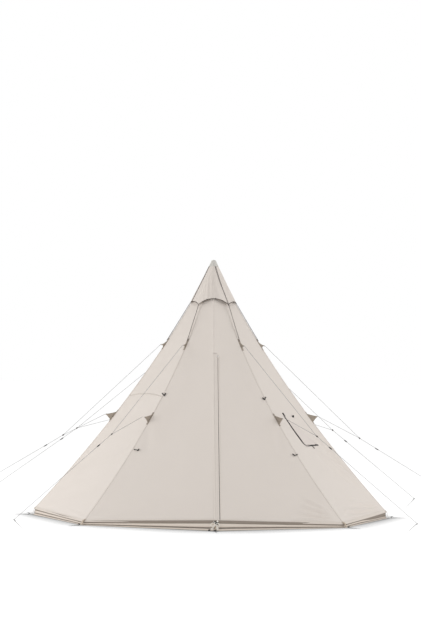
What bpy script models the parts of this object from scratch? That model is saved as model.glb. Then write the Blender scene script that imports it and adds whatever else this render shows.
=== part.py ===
"""Octagonal cotton pyramid tent on one centre pole, with guy ropes and pegs.

Metres, +Z up. The origin is on the ground under the pole and -Y is the door.
A ridge is named by its azimuth in degrees from the door, positive towards +X.
"""

import math

import bmesh
import bpy
from mathutils import Matrix, Vector

# Size of the tent
APEX_Z = 3.0  # top of the canopy over the pole
RIDGE_R = 2.08  # from the pole to a corner of the hem
HEM_Z = 0.072  # height of the canopy's lower edge
COLLAR_Z = 2.60  # where the canvas ends and the vent mesh starts
SEAM_STEP = 45.0  # degrees between ridges
RIDGES = {
    0: "front",
    45: "front_right",
    90: "right",
    135: "rear_right",
    180: "rear",
    -135: "rear_left",
    -90: "left",
    -45: "front_left",
}
SAG = {0: 0.10, 45: 0.125, 90: 0.07, 135: 0.11, 180: 0.10}  # how far each ridge curves in

# Sheets
CLOTH = 0.003  # canvas with its seam allowance
GAP = 0.0003  # between neighbours that touch
SEAM_GAP = 0.001  # between the cut edges of two panels, under the tape
SEAM_TURN = 37.0  # degrees: half the sharpest turn of the canvas over a ridge

# Door
ZIP_TOP_Z = 1.92
ZIP_X = 0.048  # the zip runs to the right of the front ridge
PLACKET_W = 0.064  # storm flap across the front ridge
PLACKET_T = 0.002
ZIP_TAPE_W = 0.014
ZIP_TAPE_T = 0.0016
COIL_W = 0.006  # between the placket's free edge and the right leaf
ZIP_START = 0.009  # from the fold to the top end of the zip's tapes
FOLD_GAP = 0.001  # between a door leaf and the wall it folds from
LEAF_Z = 0.145  # the fold starts at this height, over a sewn gusset
GUSSET_W = 0.05  # along the hem
PULL_W, PULL_H, PULL_T = 0.016, 0.040, 0.007

# Window in the right front panel. Its flat patch spans these shares of the panel's width
# and these heights, and its corners are shares of the patch, across and up.
PATCH_ACROSS = (0.27, 0.74)
PATCH_UP = (0.84, 1.26)
WINDOW_CORNERS = ((0.045, 0.905), (0.235, 0.087), (0.865, 0.087))
WINDOW_GAP = 0.0036  # lets the flap's back edge pass as it turns
WINDOW_ZIP_W = 0.009
MESH_LAP = 0.013
MESH_T = 0.0012

# Heights where the ridges bend, shared by all that lies on them
ROWS = (HEM_Z, LEAF_Z, 0.30, 0.52, *PATCH_UP, 1.58, ZIP_TOP_Z, 2.23, COLLAR_Z)

# Vent cap
CAP_TIP_R = 0.030
CAP_SPREAD = 0.51  # growth of the radius per metre down
CAP_WIDTH = {0: 0.90, 45: 0.86, 90: 0.985, 135: 0.88, 180: 0.90}
CAP_RIM_Z = {0: 2.485, 45: 2.485, 90: 2.53, 135: 2.49, 180: 2.49}  # under its arches
CAP_CORNERS = (-135, -90, -45, 45, 90, 135)
CAP_ARCH = {45: 0.03, 90: 0.095}  # rise of the rim between corners this far apart
CAP_T = 0.003
CAP_STEP = 15  # degrees between the cap's columns
CAP_ROWS = 6
VENT_MESH_T = 0.0015
VENT_MESH_LAP = 0.006  # of its top edge on the pole's tip

# Groundsheet
FLOOR_T = 0.002
BAND_T = 0.0025
BAND_INSET = 0.004  # the raised edge stands this far inside the hem's corners

# Pole
POLE_R = 0.016
POLE_WALL = 0.0012
POLE_JOINTS = (0.98, 1.96)
SPIGOT_L = 0.10
FOOT_R, FOOT_H = 0.038, 0.022
TIP_R, TIP_H = 0.024, 0.020
POLE_TOP_Z = APEX_Z - CAP_T - GAP  # the tip carries the cap
ROUND = 24

# Ridge tape, guy tabs, peg loops
TAPE_W = 0.026
TAPE_T = 0.0016
TAPE_LIFT = 0.0009  # over the panels, which twist a little under it
TAB_T = 0.004
TAB_UPPER = {"z": 2.03, "length": 0.125, "reach": 0.035, "drop": 0.035}
TAB_LOWER = {"z": 1.175, "length": 0.130, "reach": 0.080, "drop": 0.040}
TAB_TIP = 0.010
ELASTIC_R = 0.002
LOOP_W = 0.024
LOOP_SEAM = 0.02  # how far up the ridge a peg loop is sewn
LOOP_T = 0.003
EYE_R, EYE_HOLE_R = 0.014, 0.0055
EYE_OUT = 0.055  # from the corner of the hem to the middle of the eye
EYE_Z = 0.0102

# Pegs
PEG_R = 0.0025
PEG_L = 0.17
HOOK_R = 0.0085

# Guy ropes
ROPE_R = 0.002
KNOT_R = 0.008
GUY_PEG_R = 3.12  # from the pole to a guy peg
GUY_PEG_LEAN = 38.0  # degrees from the ground, on which its tip stands
GUY_HEADINGS = {-135: -116, -90: -90, -45: -45, 45: 45, 90: 90, 135: 124}
GUY_KNOT = {45: (1.14, 1.01), 90: (1.14, 0.94), 135: (1.33, 0.985)}  # along the ground, height
SLIDER_L, SLIDER_W, SLIDER_T = 0.046, 0.020, 0.012
SLIDER_BORE_R = 0.0027
SLIDER_AT = 0.24  # along the tail from the knot

FINISHES = {
    "canvas": ((0.70, 0.66, 0.58), 0.92, 0.0),
    "seam tape": ((0.66, 0.62, 0.54), 0.92, 0.0),
    "groundsheet": ((0.62, 0.55, 0.48), 0.70, 0.0),
    "mesh": ((0.10, 0.10, 0.10), 0.85, 0.0),
    "zip": ((0.03, 0.03, 0.03), 0.55, 0.0),
    "webbing": ((0.16, 0.12, 0.09), 0.85, 0.0),
    "pole steel": ((0.62, 0.63, 0.64), 0.35, 1.0),
    "black plastic": ((0.03, 0.03, 0.03), 0.45, 0.0),
    "rope": ((0.80, 0.80, 0.78), 0.85, 0.0),
    "peg steel": ((0.50, 0.50, 0.51), 0.30, 1.0),
}


def finish(name):
    """The material of this name, made once."""
    made = bpy.data.materials.get(name)
    if made is None:
        made = bpy.data.materials.new(name)
        made.use_nodes = True
        shader = made.node_tree.nodes["Principled BSDF"]
        colour, roughness, metallic = FINISHES[name]
        shader.inputs["Base Color"].default_value = (*colour, 1.0)
        shader.inputs["Roughness"].default_value = roughness
        shader.inputs["Metallic"].default_value = metallic
    return made


def place(name, data, finish_name, parent=None):
    """A new object that shows a mesh or a curve."""
    if not data.materials:
        data.materials.append(finish(finish_name))
    made = bpy.data.objects.new(name, data)
    bpy.context.collection.objects.link(made)
    if parent is not None:
        made.parent = parent
        made.matrix_parent_inverse = parent.matrix_basis.inverted()
    return made


def solid(name, points, faces, finish_name, parent=None, smooth=False):
    """A closed mesh with its faces turned outwards."""
    mesh = bpy.data.meshes.new(name)
    shape = bmesh.new()
    corners = [shape.verts.new(p) for p in points]
    for face in faces:
        shape.faces.new([corners[i] for i in face])
    bmesh.ops.recalc_face_normals(shape, faces=shape.faces)
    shape.to_mesh(mesh)
    shape.free()
    if smooth:
        mesh.shade_smooth()
        mesh.set_sharp_from_angle(angle=math.radians(35))
    return place(name, mesh, finish_name, parent)


def fuse(name, pieces, finish_name, parent=None):
    """One body from pieces that overlap, by Boolean unions."""
    base = pieces[0]
    for piece in pieces[1:]:
        union = base.modifiers.new("union", "BOOLEAN")
        union.operation = "UNION"
        union.solver = "EXACT"
        union.object = piece
    graph = bpy.context.evaluated_depsgraph_get()
    mesh = bpy.data.meshes.new_from_object(base.evaluated_get(graph))
    mesh.name = name
    for piece in pieces:
        bpy.data.objects.remove(piece)
    mesh.materials.clear()
    return place(name, mesh, finish_name, parent)


def between(values, azimuth):
    """A value between those given for the ridges, the same on both sides."""
    a = abs((azimuth + 180) % 360 - 180)
    low = min(int(a // SEAM_STEP), 3)
    share = a / SEAM_STEP - low
    return values[low * 45] * (1 - share) + values[low * 45 + 45] * share


def polar(radius, azimuth, z):
    """The point at a radius from the pole, an azimuth and a height."""
    a = math.radians(azimuth)
    return Vector((radius * math.sin(a), -radius * math.cos(a), z))


def ridge_radius(azimuth, z):
    """Distance from the pole axis to a ridge; the canvas curves in between its ends."""
    share = (APEX_Z - z) / (APEX_Z - HEM_Z)
    return RIDGE_R * (share - 4 * SAG[abs(azimuth)] * share * (1 - share))


def ridge_bend(azimuth, z):
    """The point of a ridge at a row. Below the zip's top the front ridge is straight."""
    if azimuth == 0 and z < ZIP_TOP_Z:
        share = (z - HEM_Z) / (ZIP_TOP_Z - HEM_Z)
        radius = RIDGE_R + (ridge_radius(0, ZIP_TOP_Z) - RIDGE_R) * share
        return polar(radius, 0, z)
    return polar(ridge_radius(azimuth, z), azimuth, z)


def ridge(azimuth, z):
    """The point of a ridge at a height, on the straight run between two rows."""
    low = max((k for k in range(len(ROWS) - 1) if ROWS[k] <= z), default=0)
    share = (z - ROWS[low]) / (ROWS[low + 1] - ROWS[low])
    return ridge_bend(azimuth, ROWS[low]).lerp(ridge_bend(azimuth, ROWS[low + 1]), share)


def door_fold(side, z):
    """The point at a height of the fold that a door leaf swings about."""
    top, corner = ridge(0, ZIP_TOP_Z), ridge(side * 45, HEM_Z)
    return corner.lerp(top, (z - HEM_Z) / (ZIP_TOP_Z - HEM_Z))


def gusset(side, z):
    """The inner edge, at a height, of the gusset below the fold."""
    corner, front = ridge(side * 45, HEM_Z), ridge(0, HEM_Z)
    foot = corner + (front - corner).normalized() * GUSSET_W
    return foot.lerp(door_fold(side, LEAF_Z), (z - HEM_Z) / (LEAF_Z - HEM_Z))


def front_edge(side, z):
    """The inner edge of the fixed wall beside a door leaf, and over the door the ridge."""
    if z >= ZIP_TOP_Z:
        return ridge(0, z)
    return door_fold(side, z) if z >= LEAF_Z else gusset(side, z)


def beside(azimuth, side, z):
    """The far edge of the panel on one side of a ridge."""
    if abs(azimuth) == 45 and side * azimuth < 0:
        return front_edge(-side, z)
    return ridge((azimuth + side * 45 + 180) % 360 - 180, z)


def rows_from(low, high=COLLAR_Z):
    """The rows from one height up to another, with both ends."""
    return [low] + [z for z in ROWS if low < z < high] + [high]


def outward(grid, i, j):
    """Unit normal of a grid of points, pointing away from the pole."""
    rows, columns = len(grid), len(grid[0])
    up = grid[min(i + 1, rows - 1)][j] - grid[max(i - 1, 0)][j]
    along = grid[i][min(j + 1, columns - 1)] - grid[i][max(j - 1, 0)]
    normal = along.cross(up).normalized()
    away = Vector((grid[i][j].x, grid[i][j].y, 0))
    return normal if normal.dot(away) > 0 else -normal


def lifted(grid, height):
    """The grid moved along its normals."""
    return [
        [p + outward(grid, i, j) * height for j, p in enumerate(row)]
        for i, row in enumerate(grid)
    ]


def slab(name, front, back, finish_name, parent=None):
    """A closed sheet between two grids of the same size."""
    rows, columns = len(front), len(front[0])
    points = [p for grid in (front, back) for row in grid for p in row]
    half = rows * columns

    def at(side, i, j):
        return side * half + i * columns + j

    faces = []
    for side in (0, 1):
        for i in range(rows - 1):
            for j in range(columns - 1):
                a, b = at(side, i, j), at(side, i, j + 1)
                c, d = at(side, i + 1, j + 1), at(side, i + 1, j)
                faces += [[a, b, d], [b, c, d]]
    rim = (
        [(0, j) for j in range(columns - 1)]
        + [(i, columns - 1) for i in range(rows - 1)]
        + [(rows - 1, j) for j in range(columns - 1, 0, -1)]
        + [(i, 0) for i in range(rows - 1, 0, -1)]
    )
    for a, b in zip(rim, rim[1:] + rim[:1]):
        faces.append([at(0, *a), at(0, *b), at(1, *b), at(1, *a)])
    return solid(name, points, faces, finish_name, parent)


def sheet(name, grid, thickness, finish_name, parent=None):
    """A sheet whose outer face is the grid."""
    return slab(name, grid, lifted(grid, -thickness), finish_name, parent)


SEAM_MARGIN = SEAM_GAP / 2 + CLOTH * math.tan(math.radians(SEAM_TURN))


def panel(name, first, second, shares=(0.5,)):
    """A wall panel stretched between two seams, each a function of the height.

    It stops short of the seams, so that the inner faces of neighbours stay clear.
    """
    grid = []
    for z in ROWS:
        a, b = first(z), second(z)
        step = (b - a).normalized()
        row = [a + step * SEAM_MARGIN, a + step * wing(a, b)]
        row += [a.lerp(b, share) for share in shares]
        grid.append(row + [b - step * wing(a, b), b - step * SEAM_MARGIN])
    return sheet(name, grid, CLOTH, "canvas")


def wing(a, b):
    """How far the tape over a ridge reaches along a panel that ends at b."""
    return min(TAPE_W, (b - a).length * 0.5 - SEAM_MARGIN)


def turned(name, profile, finish_name, parent=None, at=(0, 0, 0)):
    """A round piece from a closed profile of (radius, height) pairs."""
    points, rings = [], []
    for radius, z in profile:
        if radius == 0:
            rings.append([len(points)] * ROUND)
            points.append(Vector((0, 0, z)))
        else:
            rings.append([len(points) + k for k in range(ROUND)])
            points += [polar(radius, 360 * k / ROUND, z) for k in range(ROUND)]
    faces = []
    for lower, upper in zip(rings, rings[1:] + rings[:1]):
        for k in range(ROUND):
            face = [lower[k], lower[(k + 1) % ROUND], upper[(k + 1) % ROUND], upper[k]]
            face = list(dict.fromkeys(face))
            if len(face) > 2:
                faces.append(face)
    made = solid(name, points, faces, finish_name, parent, smooth=True)
    made.location = at
    return made


def prism(name, outline, height, finish_name, parent=None):
    """A flat outline of points, thickened by a vector to one side."""
    count = len(outline)
    points = list(outline) + [p + height for p in outline]
    faces = [list(range(count)), list(range(2 * count - 1, count - 1, -1))]
    faces += [[k, (k + 1) % count, count + (k + 1) % count, count + k] for k in range(count)]
    return solid(name, points, faces, finish_name, parent)


def rod(name, points, radius, finish_name, resolution=1, parent=None):
    """A round bar or rope along points."""
    curve = bpy.data.curves.new(name, "CURVE")
    curve.dimensions = "3D"
    curve.bevel_depth = radius
    curve.bevel_resolution = resolution
    curve.use_fill_caps = True
    spline = curve.splines.new("POLY")
    spline.points.add(len(points) - 1)
    for point, place_at in zip(spline.points, points):
        point.co = (*place_at, 1.0)
    return place(name, curve, finish_name, parent)


def as_mesh(piece):
    """The piece with its curve turned into a mesh."""
    graph = bpy.context.evaluated_depsgraph_get()
    mesh = bpy.data.meshes.new_from_object(piece.evaluated_get(graph))
    name, matrix = piece.name, piece.matrix_basis.copy()
    bpy.data.objects.remove(piece)
    made = bpy.data.objects.new(name, mesh)
    made.matrix_basis = matrix
    bpy.context.collection.objects.link(made)
    return made


def axis(name, at):
    """An empty at a joint's place."""
    made = bpy.data.objects.new(name, None)
    made.location = at
    made.empty_display_size = 0.1
    bpy.context.collection.objects.link(made)
    return made


def pole():
    """Three steel tubes that plug into each other, a foot and a tip."""
    bore = POLE_R - POLE_WALL
    plug = bore - GAP
    plug_bore = plug - POLE_WALL
    foot_top = FLOOR_T + GAP + FOOT_H
    ends = [foot_top + GAP, *POLE_JOINTS, POLE_TOP_Z - TIP_H]
    for k, part in enumerate(("lower", "middle", "upper")):
        low, high = ends[k] + (GAP if k else 0), ends[k + 1]
        profile = [(POLE_R, low), (POLE_R, high)]
        if k < 2:  # the spigot that goes up into the next tube
            profile += [(plug, high), (plug, high + SPIGOT_L)]
            profile += [(plug_bore, high + SPIGOT_L), (plug_bore, high - 0.01)]
        profile += [(bore, high - (0.01 if k < 2 else 0)), (bore, low)]
        turned(f"pole_{part}", profile, "pole steel")
    turned(
        "pole_foot",
        [
            (0, FLOOR_T + GAP),
            (FOOT_R, FLOOR_T + GAP),
            (FOOT_R, FLOOR_T + GAP + FOOT_H * 0.35),
            (POLE_R + 0.005, foot_top),
            (plug, foot_top),
            (plug, foot_top + 0.03),
            (0, foot_top + 0.03),
        ],
        "black plastic",
    )
    tube_top = POLE_TOP_Z - TIP_H
    turned(
        "pole_tip",
        [
            (0, tube_top - 0.03),
            (plug, tube_top - 0.03),
            (plug, tube_top + GAP),
            (TIP_R, tube_top + GAP),
            (TIP_R, POLE_TOP_Z - TIP_H * 0.35),
            (TIP_R * 0.72, POLE_TOP_Z),
            (0, POLE_TOP_Z),
        ],
        "black plastic",
    )


def groundsheet():
    """A flat floor and the band that stands up round it."""
    outer = RIDGE_R - BAND_INSET
    inner = outer - BAND_T / math.cos(math.radians(SEAM_STEP / 2))
    corners = [k * SEAM_STEP for k in range(8)]
    floor = [polar(inner - GAP, a, 0) for a in corners]
    prism("groundsheet_floor", floor, Vector((0, 0, FLOOR_T)), "groundsheet")
    top = HEM_Z - 0.004
    rings = [(outer, 0), (outer, top), (inner, top), (inner, 0)]
    points = [polar(r, a, z) for a in corners for r, z in rings]
    faces = [
        [4 * k + m, 4 * k + (m + 1) % 4, 4 * ((k + 1) % 8) + (m + 1) % 4, 4 * ((k + 1) % 8) + m]
        for k in range(8)
        for m in range(4)
    ]
    band = solid("band", points, faces, "groundsheet")
    start = [(outer - BAND_T * 0.5, HEM_Z * 0.8), (outer + LOOP_T, HEM_Z * 0.6)]
    fuse("groundsheet_band", [band, *peg_loop(0, start)], "groundsheet")


def grown(triangle, distance):
    """A triangle with its sides moved outwards by a distance."""
    normal = (triangle[1] - triangle[0]).cross(triangle[2] - triangle[0]).normalized()
    made = []
    for k in range(3):
        a, b, c = triangle[k - 1], triangle[k], triangle[(k + 1) % 3]
        before = (b - a).normalized().cross(normal)
        after = (c - b).normalized().cross(normal)
        bisector = (before + after).normalized()
        made.append(b + bisector * distance / bisector.dot(before))
    return made


def walls():
    """The eight wall panels, two of them cut away below for the doors."""
    sides = {
        "wall_left_front": (-90, -45),
        "wall_left_rear": (-135, -90),
        "wall_rear_left": (-180, -135),
        "wall_rear_right": (135, 180),
        "wall_right_rear": (90, 135),
    }
    for name, (first, second) in sides.items():
        panel(name, lambda z, a=first: ridge(a, z), lambda z, a=second: ridge(a, z))
    window(
        panel(
            "wall_right_front",
            lambda z: ridge(45, z),
            lambda z: ridge(90, z),
            PATCH_ACROSS,
        )
    )
    panel("wall_front_left", lambda z: ridge(-45, z), lambda z: front_edge(-1, z))
    panel("wall_front_right", lambda z: front_edge(1, z), lambda z: ridge(45, z))


def window(wall):
    """The opening in the wall, with its flap, zip and mesh."""
    low, high = PATCH_UP
    near, far = PATCH_ACROSS
    foot = ridge(45, low).lerp(ridge(90, low), near)
    run = ridge(45, low).lerp(ridge(90, low), far) - foot
    rise = ridge(45, high).lerp(ridge(90, high), near) - foot
    hole = [foot + run * a + rise * b for a, b in WINDOW_CORNERS]
    out = run.cross(rise).normalized()
    cut = [p - out * 0.03 for p in grown(hole, WINDOW_GAP)]
    cutter = prism("window_cutter", cut, out * 0.06, "canvas")
    cutter.hide_render = True
    cutter.display_type = "WIRE"
    opening = wall.modifiers.new("window", "BOOLEAN")
    opening.operation = "DIFFERENCE"
    opening.solver = "EXACT"
    opening.object = cutter

    hinge = axis("window_fold", hole[0])
    prism("window_flap", hole, -out * CLOTH, "canvas", hinge)

    back = -out * (CLOTH + GAP)
    prism("window_mesh", [p + back for p in grown(hole, MESH_LAP)], -out * MESH_T, "mesh")

    edge = [p + out * GAP for p in grown(hole, WINDOW_GAP + GAP)]
    rim = [p + out * GAP for p in grown(hole, WINDOW_GAP + WINDOW_ZIP_W)]
    prism("window_zip", [*edge, *reversed(rim)], out * ZIP_TAPE_T, "zip")


class Front:
    """The plane of a front face below the zip's top, on one side of the front ridge.

    A place on it is (down from the zip's top along the ridge, away from the ridge, height
    above the face).
    """

    def __init__(self, side):
        self.top = ridge_bend(0, ZIP_TOP_Z)
        self.corner = ridge_bend(side * 45, HEM_Z)
        edge = ridge_bend(0, HEM_Z) - self.top
        self.length = edge.length
        self.down = edge.normalized()
        to_corner = self.corner - self.top
        self.away = (to_corner - self.down * to_corner.dot(self.down)).normalized()
        normal = self.down.cross(self.away)
        self.out = normal if normal.y < 0 else -normal

    def at(self, down, away, height=0.0):
        return self.top + self.down * down + self.away * away + self.out * height

    def flat(self, point):
        """The place of a point, without its height."""
        return (point - self.top).dot(self.down), (point - self.top).dot(self.away)


def meet(first, second):
    """Where two lines in a plane cross, each given by two points."""
    (ax, ay), (bx, by) = first
    (cx, cy), (dx, dy) = second
    turn = (bx - ax) * (dy - cy) - (by - ay) * (dx - cx)
    share = ((cx - ax) * (dy - cy) - (cy - ay) * (dx - cx)) / turn
    return ax + (bx - ax) * share, ay + (by - ay) * share


def shifted(line, distance):
    """The line moved to its left by a distance."""
    (ax, ay), (bx, by) = line
    length = math.hypot(bx - ax, by - ay)
    x, y = -(by - ay) / length * distance, (bx - ax) / length * distance
    return (ax + x, ay + y), (bx + x, by + y)


def leaf(name, front, side, free_edge, hinge):
    """A door leaf between its free edge, the hem, the gusset and the fold."""
    fold_end, foot = front.flat(door_fold(side, LEAF_Z)), front.flat(gusset(side, HEM_Z))
    fold = shifted(((0.0, 0.0), fold_end), -FOLD_GAP)
    cut = shifted((fold_end, foot), -FOLD_GAP)
    hem = ((front.length, 0.0), foot)
    free = ((0.0, free_edge), (front.length, free_edge))
    outline = [meet(fold, free), meet(free, hem), meet(hem, cut), meet(cut, fold)]
    prism(name, [front.at(*p) for p in outline], -front.out * CLOTH, "canvas", hinge)


def doors():
    """Two flat leaves, with the placket, the zip's tapes and its slider."""
    left, right = Front(-1), Front(1)
    fold_left = axis("door_left_fold", left.corner)
    fold_right = axis("door_right_fold", right.corner)
    leaf("door_left", left, -1, SEAM_MARGIN, fold_left)
    leaf("door_right", right, 1, ZIP_X + COIL_W + SEAM_GAP, fold_right)
    down, away = left.flat(left.corner)
    top = (max(PLACKET_W - ZIP_X, ZIP_X + COIL_W) + FOLD_GAP * 2) * down / away

    # the placket lies on the left leaf and turns over the ridge to the zip
    bisector = (left.out + right.out).normalized()
    mitre = bisector / bisector.dot(left.out)
    section = [
        left.away * (PLACKET_W - ZIP_X) + left.out * GAP,
        left.away * (PLACKET_W - ZIP_X) + left.out * (GAP + PLACKET_T),
        mitre * (GAP + PLACKET_T),
        right.away * (ZIP_X - GAP) + right.out * (GAP + PLACKET_T),
        right.away * (ZIP_X - GAP) + right.out * GAP,
        mitre * GAP,
    ]
    run = left.down * (left.length - top)
    prism("storm_flap", [left.at(top, 0) + p for p in section], run, "canvas", fold_left)

    edge = ZIP_X + COIL_W
    for name, low, high, height, fold in (
        ("zip_left", ZIP_X - ZIP_TAPE_W, edge, -ZIP_TAPE_T, fold_left),
        ("zip_right", edge + SEAM_GAP, edge + ZIP_TAPE_W, GAP, fold_right),
    ):
        first, last = ((a + ZIP_START) * down / away for a in (low, high))
        places = ((first, low), (last, high), (right.length, high), (right.length, low))
        strip = [right.at(*p, height) for p in places]
        prism(name, strip, right.out * ZIP_TAPE_T, "zip", fold)

    # the slider rides over the coil, clear of the right leaf
    height = GAP * 2 + PLACKET_T
    first = (edge + ZIP_START) * down / away
    middle = (first + PULL_H / 2, edge - GAP - PULL_W / 2)
    runner = axis("zip_run", right.at(*middle, height))
    w, h = PULL_W / 2, PULL_H / 2
    outline = [(-h, -w * 0.6), (-h * 0.4, -w), (h * 0.4, -w * 0.45), (h, -w * 0.45)]
    outline += [(a, -b) for a, b in reversed(outline)]
    shape = [right.at(middle[0] + a, middle[1] + b, height) for a, b in outline]
    prism("zip_slider", shape, right.out * PULL_T, "black plastic", runner)


def cap_radius(azimuth, z):
    """Distance from the pole axis to the outside of the vent cap."""
    spread = (CAP_TIP_R + CAP_SPREAD * (APEX_Z - z)) * between(CAP_WIDTH, azimuth)
    return max(spread, CAP_TIP_R)


def cap_rim(azimuth):
    """Height of the cap's rim: low at its corners, arched between them."""
    for first, second in zip(CAP_CORNERS, CAP_CORNERS[1:] + (CAP_CORNERS[0] + 360,)):
        for a in (azimuth, azimuth + 360):
            if first <= a <= second:
                share = (a - first) / (second - first)
                rise = CAP_ARCH[second - first] * math.sin(math.pi * share)
                return between(CAP_RIM_Z, azimuth) + rise
    raise ValueError(azimuth)


def vent_cap():
    """The cap over the vents: a thin cone with an arched rim."""
    count = 360 // CAP_STEP
    azimuths = [k * CAP_STEP - 180 for k in range(count)]
    points, rings = [], []

    def ring(radius, height):
        rings.append([len(points) + k for k in range(count)])
        points.extend(polar(radius(a), a, height(a)) for a in azimuths)

    def row(k, drop):
        def height(a):
            return APEX_Z - drop + (cap_rim(a) - APEX_Z + drop) * k / (CAP_ROWS - 1)

        return height

    thick = CAP_T / math.cos(math.atan(CAP_SPREAD))
    for k in range(CAP_ROWS):
        height = row(k, 0)
        ring(lambda a, h=height: cap_radius(a, h(a)), height)
    for k in reversed(range(CAP_ROWS)):
        height = row(k, CAP_T)
        ring(lambda a, h=height: cap_radius(a, h(a) + CAP_T) - thick * 0.7, height)
    faces = [rings[0], rings[-1]]
    for upper, lower in zip(rings, rings[1:]):
        for k in range(count):
            m = (k + 1) % count
            faces += [[upper[k], upper[m], lower[k]], [upper[m], lower[m], lower[k]]]
    solid("vent_cap", points, faces, "canvas")


def vent_mesh():
    """The mesh between the canvas collar and the pole's tip, under the cap."""
    azimuths = [k * SEAM_STEP for k in range(8)]
    top = POLE_TOP_Z - TIP_H + GAP + VENT_MESH_LAP
    heights = [COLLAR_Z + GAP, (COLLAR_Z + top) / 2, top]
    least = (TIP_R + GAP + VENT_MESH_T) / math.cos(math.radians(SEAM_STEP / 2))
    points = []
    for inset in (0, VENT_MESH_T):
        for z in heights:
            for a in azimuths:
                radius = ridge_radius(round((a + 180) % 360 - 180), z) - inset
                points.append(polar(max(radius, least - inset), a, z))
    faces = []
    for side in (0, 1):
        for i in range(2):
            for k in range(8):
                a, b = 24 * side + 8 * i + k, 24 * side + 8 * i + (k + 1) % 8
                faces += [[a, b, a + 8], [b, b + 8, a + 8]]
    for i in (0, 2):
        for k in range(8):
            a, b = 8 * i + k, 8 * i + (k + 1) % 8
            faces.append([a, b, b + 24, a + 24])
    solid("vent_mesh", points, faces, "mesh")


class Ridge:
    """The frame of a ridge at a height: up along it, out from it, and both faces."""

    def __init__(self, azimuth, z):
        low = max(k for k in range(len(ROWS) - 1) if ROWS[k] <= z or k == 0)
        self.at = ridge(azimuth, z)
        self.up = (ridge(azimuth, ROWS[low + 1]) - ridge(azimuth, ROWS[low])).normalized()
        self.faces = []
        for side in (-1, 1):
            far = beside(azimuth, side, z)
            along = (far - self.at).normalized()
            normal = along.cross(self.up).normalized()
            if normal.dot(Vector((self.at.x, self.at.y, 0))) < 0:
                normal = -normal
            self.faces.append((along, wing(self.at, far), normal))
        self.out = (self.faces[0][2] + self.faces[1][2]).normalized()
        self.across = self.up.cross(self.out).normalized()

    def lifted(self, height):
        """The tape's points from left to right, at a height above the faces."""
        (left, left_wing, left_out), (right, right_wing, right_out) = self.faces
        return [
            self.at + left * left_wing + left_out * height,
            self.at + left * SEAM_MARGIN + left_out * height,
            self.at + self.out * height / self.out.dot(left_out),
            self.at + right * SEAM_MARGIN + right_out * height,
            self.at + right * right_wing + right_out * height,
        ]


def tab(azimuth, size):
    """A webbing triangle that stands on the ridge, and the middle of its tip."""
    place_at = Ridge(azimuth, size["z"])
    base, tip = place_at.at + place_at.out * (TAPE_LIFT + TAPE_T * 0.6), size["reach"]
    half, end, drop = size["length"] / 2, TAB_TIP / 2, size["drop"]
    outline = [(-half, 0), (half, 0), (end - drop, tip), (-end - drop, tip)]
    shape = [
        base + place_at.up * s + place_at.out * p - place_at.across * TAB_T / 2
        for s, p in outline
    ]
    return prism("tab", shape, place_at.across * TAB_T, "webbing")


def tab_tip(azimuth, size):
    """The middle of a guy tab's tip, and the direction that the tab points in."""
    place_at = Ridge(azimuth, size["z"])
    reach = TAPE_LIFT + TAPE_T * 0.6 + size["reach"]
    return place_at.at + place_at.out * reach - place_at.up * size["drop"], place_at.out


def peg_loop(azimuth, start):
    """Webbing from a corner down to a flat eye near the ground, as two pieces to fuse."""
    out = polar(1, azimuth, 0)
    side = Vector((-out.y, out.x, 0))
    eye_r = RIDGE_R + EYE_OUT
    path = [*start, (eye_r - EYE_R * 1.8, EYE_Z), (eye_r - EYE_R * 0.8, EYE_Z)]
    under = [out * r + Vector((0, 0, z)) - side * LOOP_W / 2 for r, z in path]
    over = [
        out * (r + (LOOP_T if k < len(start) else LOOP_T * 0.5 * (k == len(start))))
        + Vector((0, 0, z + (LOOP_T if k >= len(start) else 0)))
        - side * LOOP_W / 2
        for k, (r, z) in enumerate(path)
    ]
    strip = prism("strip", [*under, *reversed(over)], side * LOOP_W, "webbing")
    eye = turned(
        "eye",
        [(EYE_HOLE_R, 0), (EYE_R, 0), (EYE_R, LOOP_T), (EYE_HOLE_R, LOOP_T)],
        "webbing",
    )
    eye.location = out * eye_r + Vector((0, 0, EYE_Z))
    return [strip, eye]


def ridge_tapes():
    """Tape over each ridge, with the guy tabs, the cap's elastic and the peg loop."""
    for azimuth, place_name in RIDGES.items():
        rows = rows_from(ZIP_TOP_Z + 0.01 if azimuth == 0 else HEM_Z)
        frames = [Ridge(azimuth, z) for z in rows]
        under = [frame.lifted(TAPE_LIFT) for frame in frames]
        over = [frame.lifted(TAPE_LIFT + TAPE_T) for frame in frames]
        tape = slab("tape", over, under, "seam tape")
        pieces = [tape]
        if azimuth:
            sunk = (TAPE_LIFT + TAPE_T / 2) * math.sqrt(2)
            above = HEM_Z + LOOP_SEAM
            seam = math.hypot(ridge(azimuth, above).x, ridge(azimuth, above).y)
            start = [(seam, above), (RIDGE_R, HEM_Z), (RIDGE_R, HEM_Z * 0.6)]
            pieces += peg_loop(azimuth, [(r + sunk, z) for r, z in start])
        if azimuth in GUY_HEADINGS:
            pieces += [tab(azimuth, TAB_UPPER), tab(azimuth, TAB_LOWER)]
            upper = Ridge(azimuth, TAB_UPPER["z"])
            start = upper.at + upper.up * TAB_UPPER["length"] * 0.35 + upper.out * 0.007
            rim = cap_rim(azimuth)
            corner = polar(cap_radius(azimuth, rim) - CAP_T / 2, azimuth, rim)
            run = (corner - start).normalized()
            elastic = rod("elastic", [start, corner - run * (CAP_T + GAP)], ELASTIC_R, "webbing")
            pieces.append(as_mesh(elastic))
        fuse(f"ridge_tape_{place_name}", pieces, "seam tape")


def peg_shape():
    """Centre line of a hooked peg in the XZ plane, about the middle of its hook."""
    points = [(PEG_L, -HOOK_R), (0.0, -HOOK_R)]
    for k in range(1, 6):
        a = math.radians(-90 - 36 * k)
        points.append((HOOK_R * math.cos(a), HOOK_R * math.sin(a)))
    points.append((HOOK_R * 1.4, HOOK_R))
    return [Vector((x, 0, z)) for x, z in points]


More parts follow.
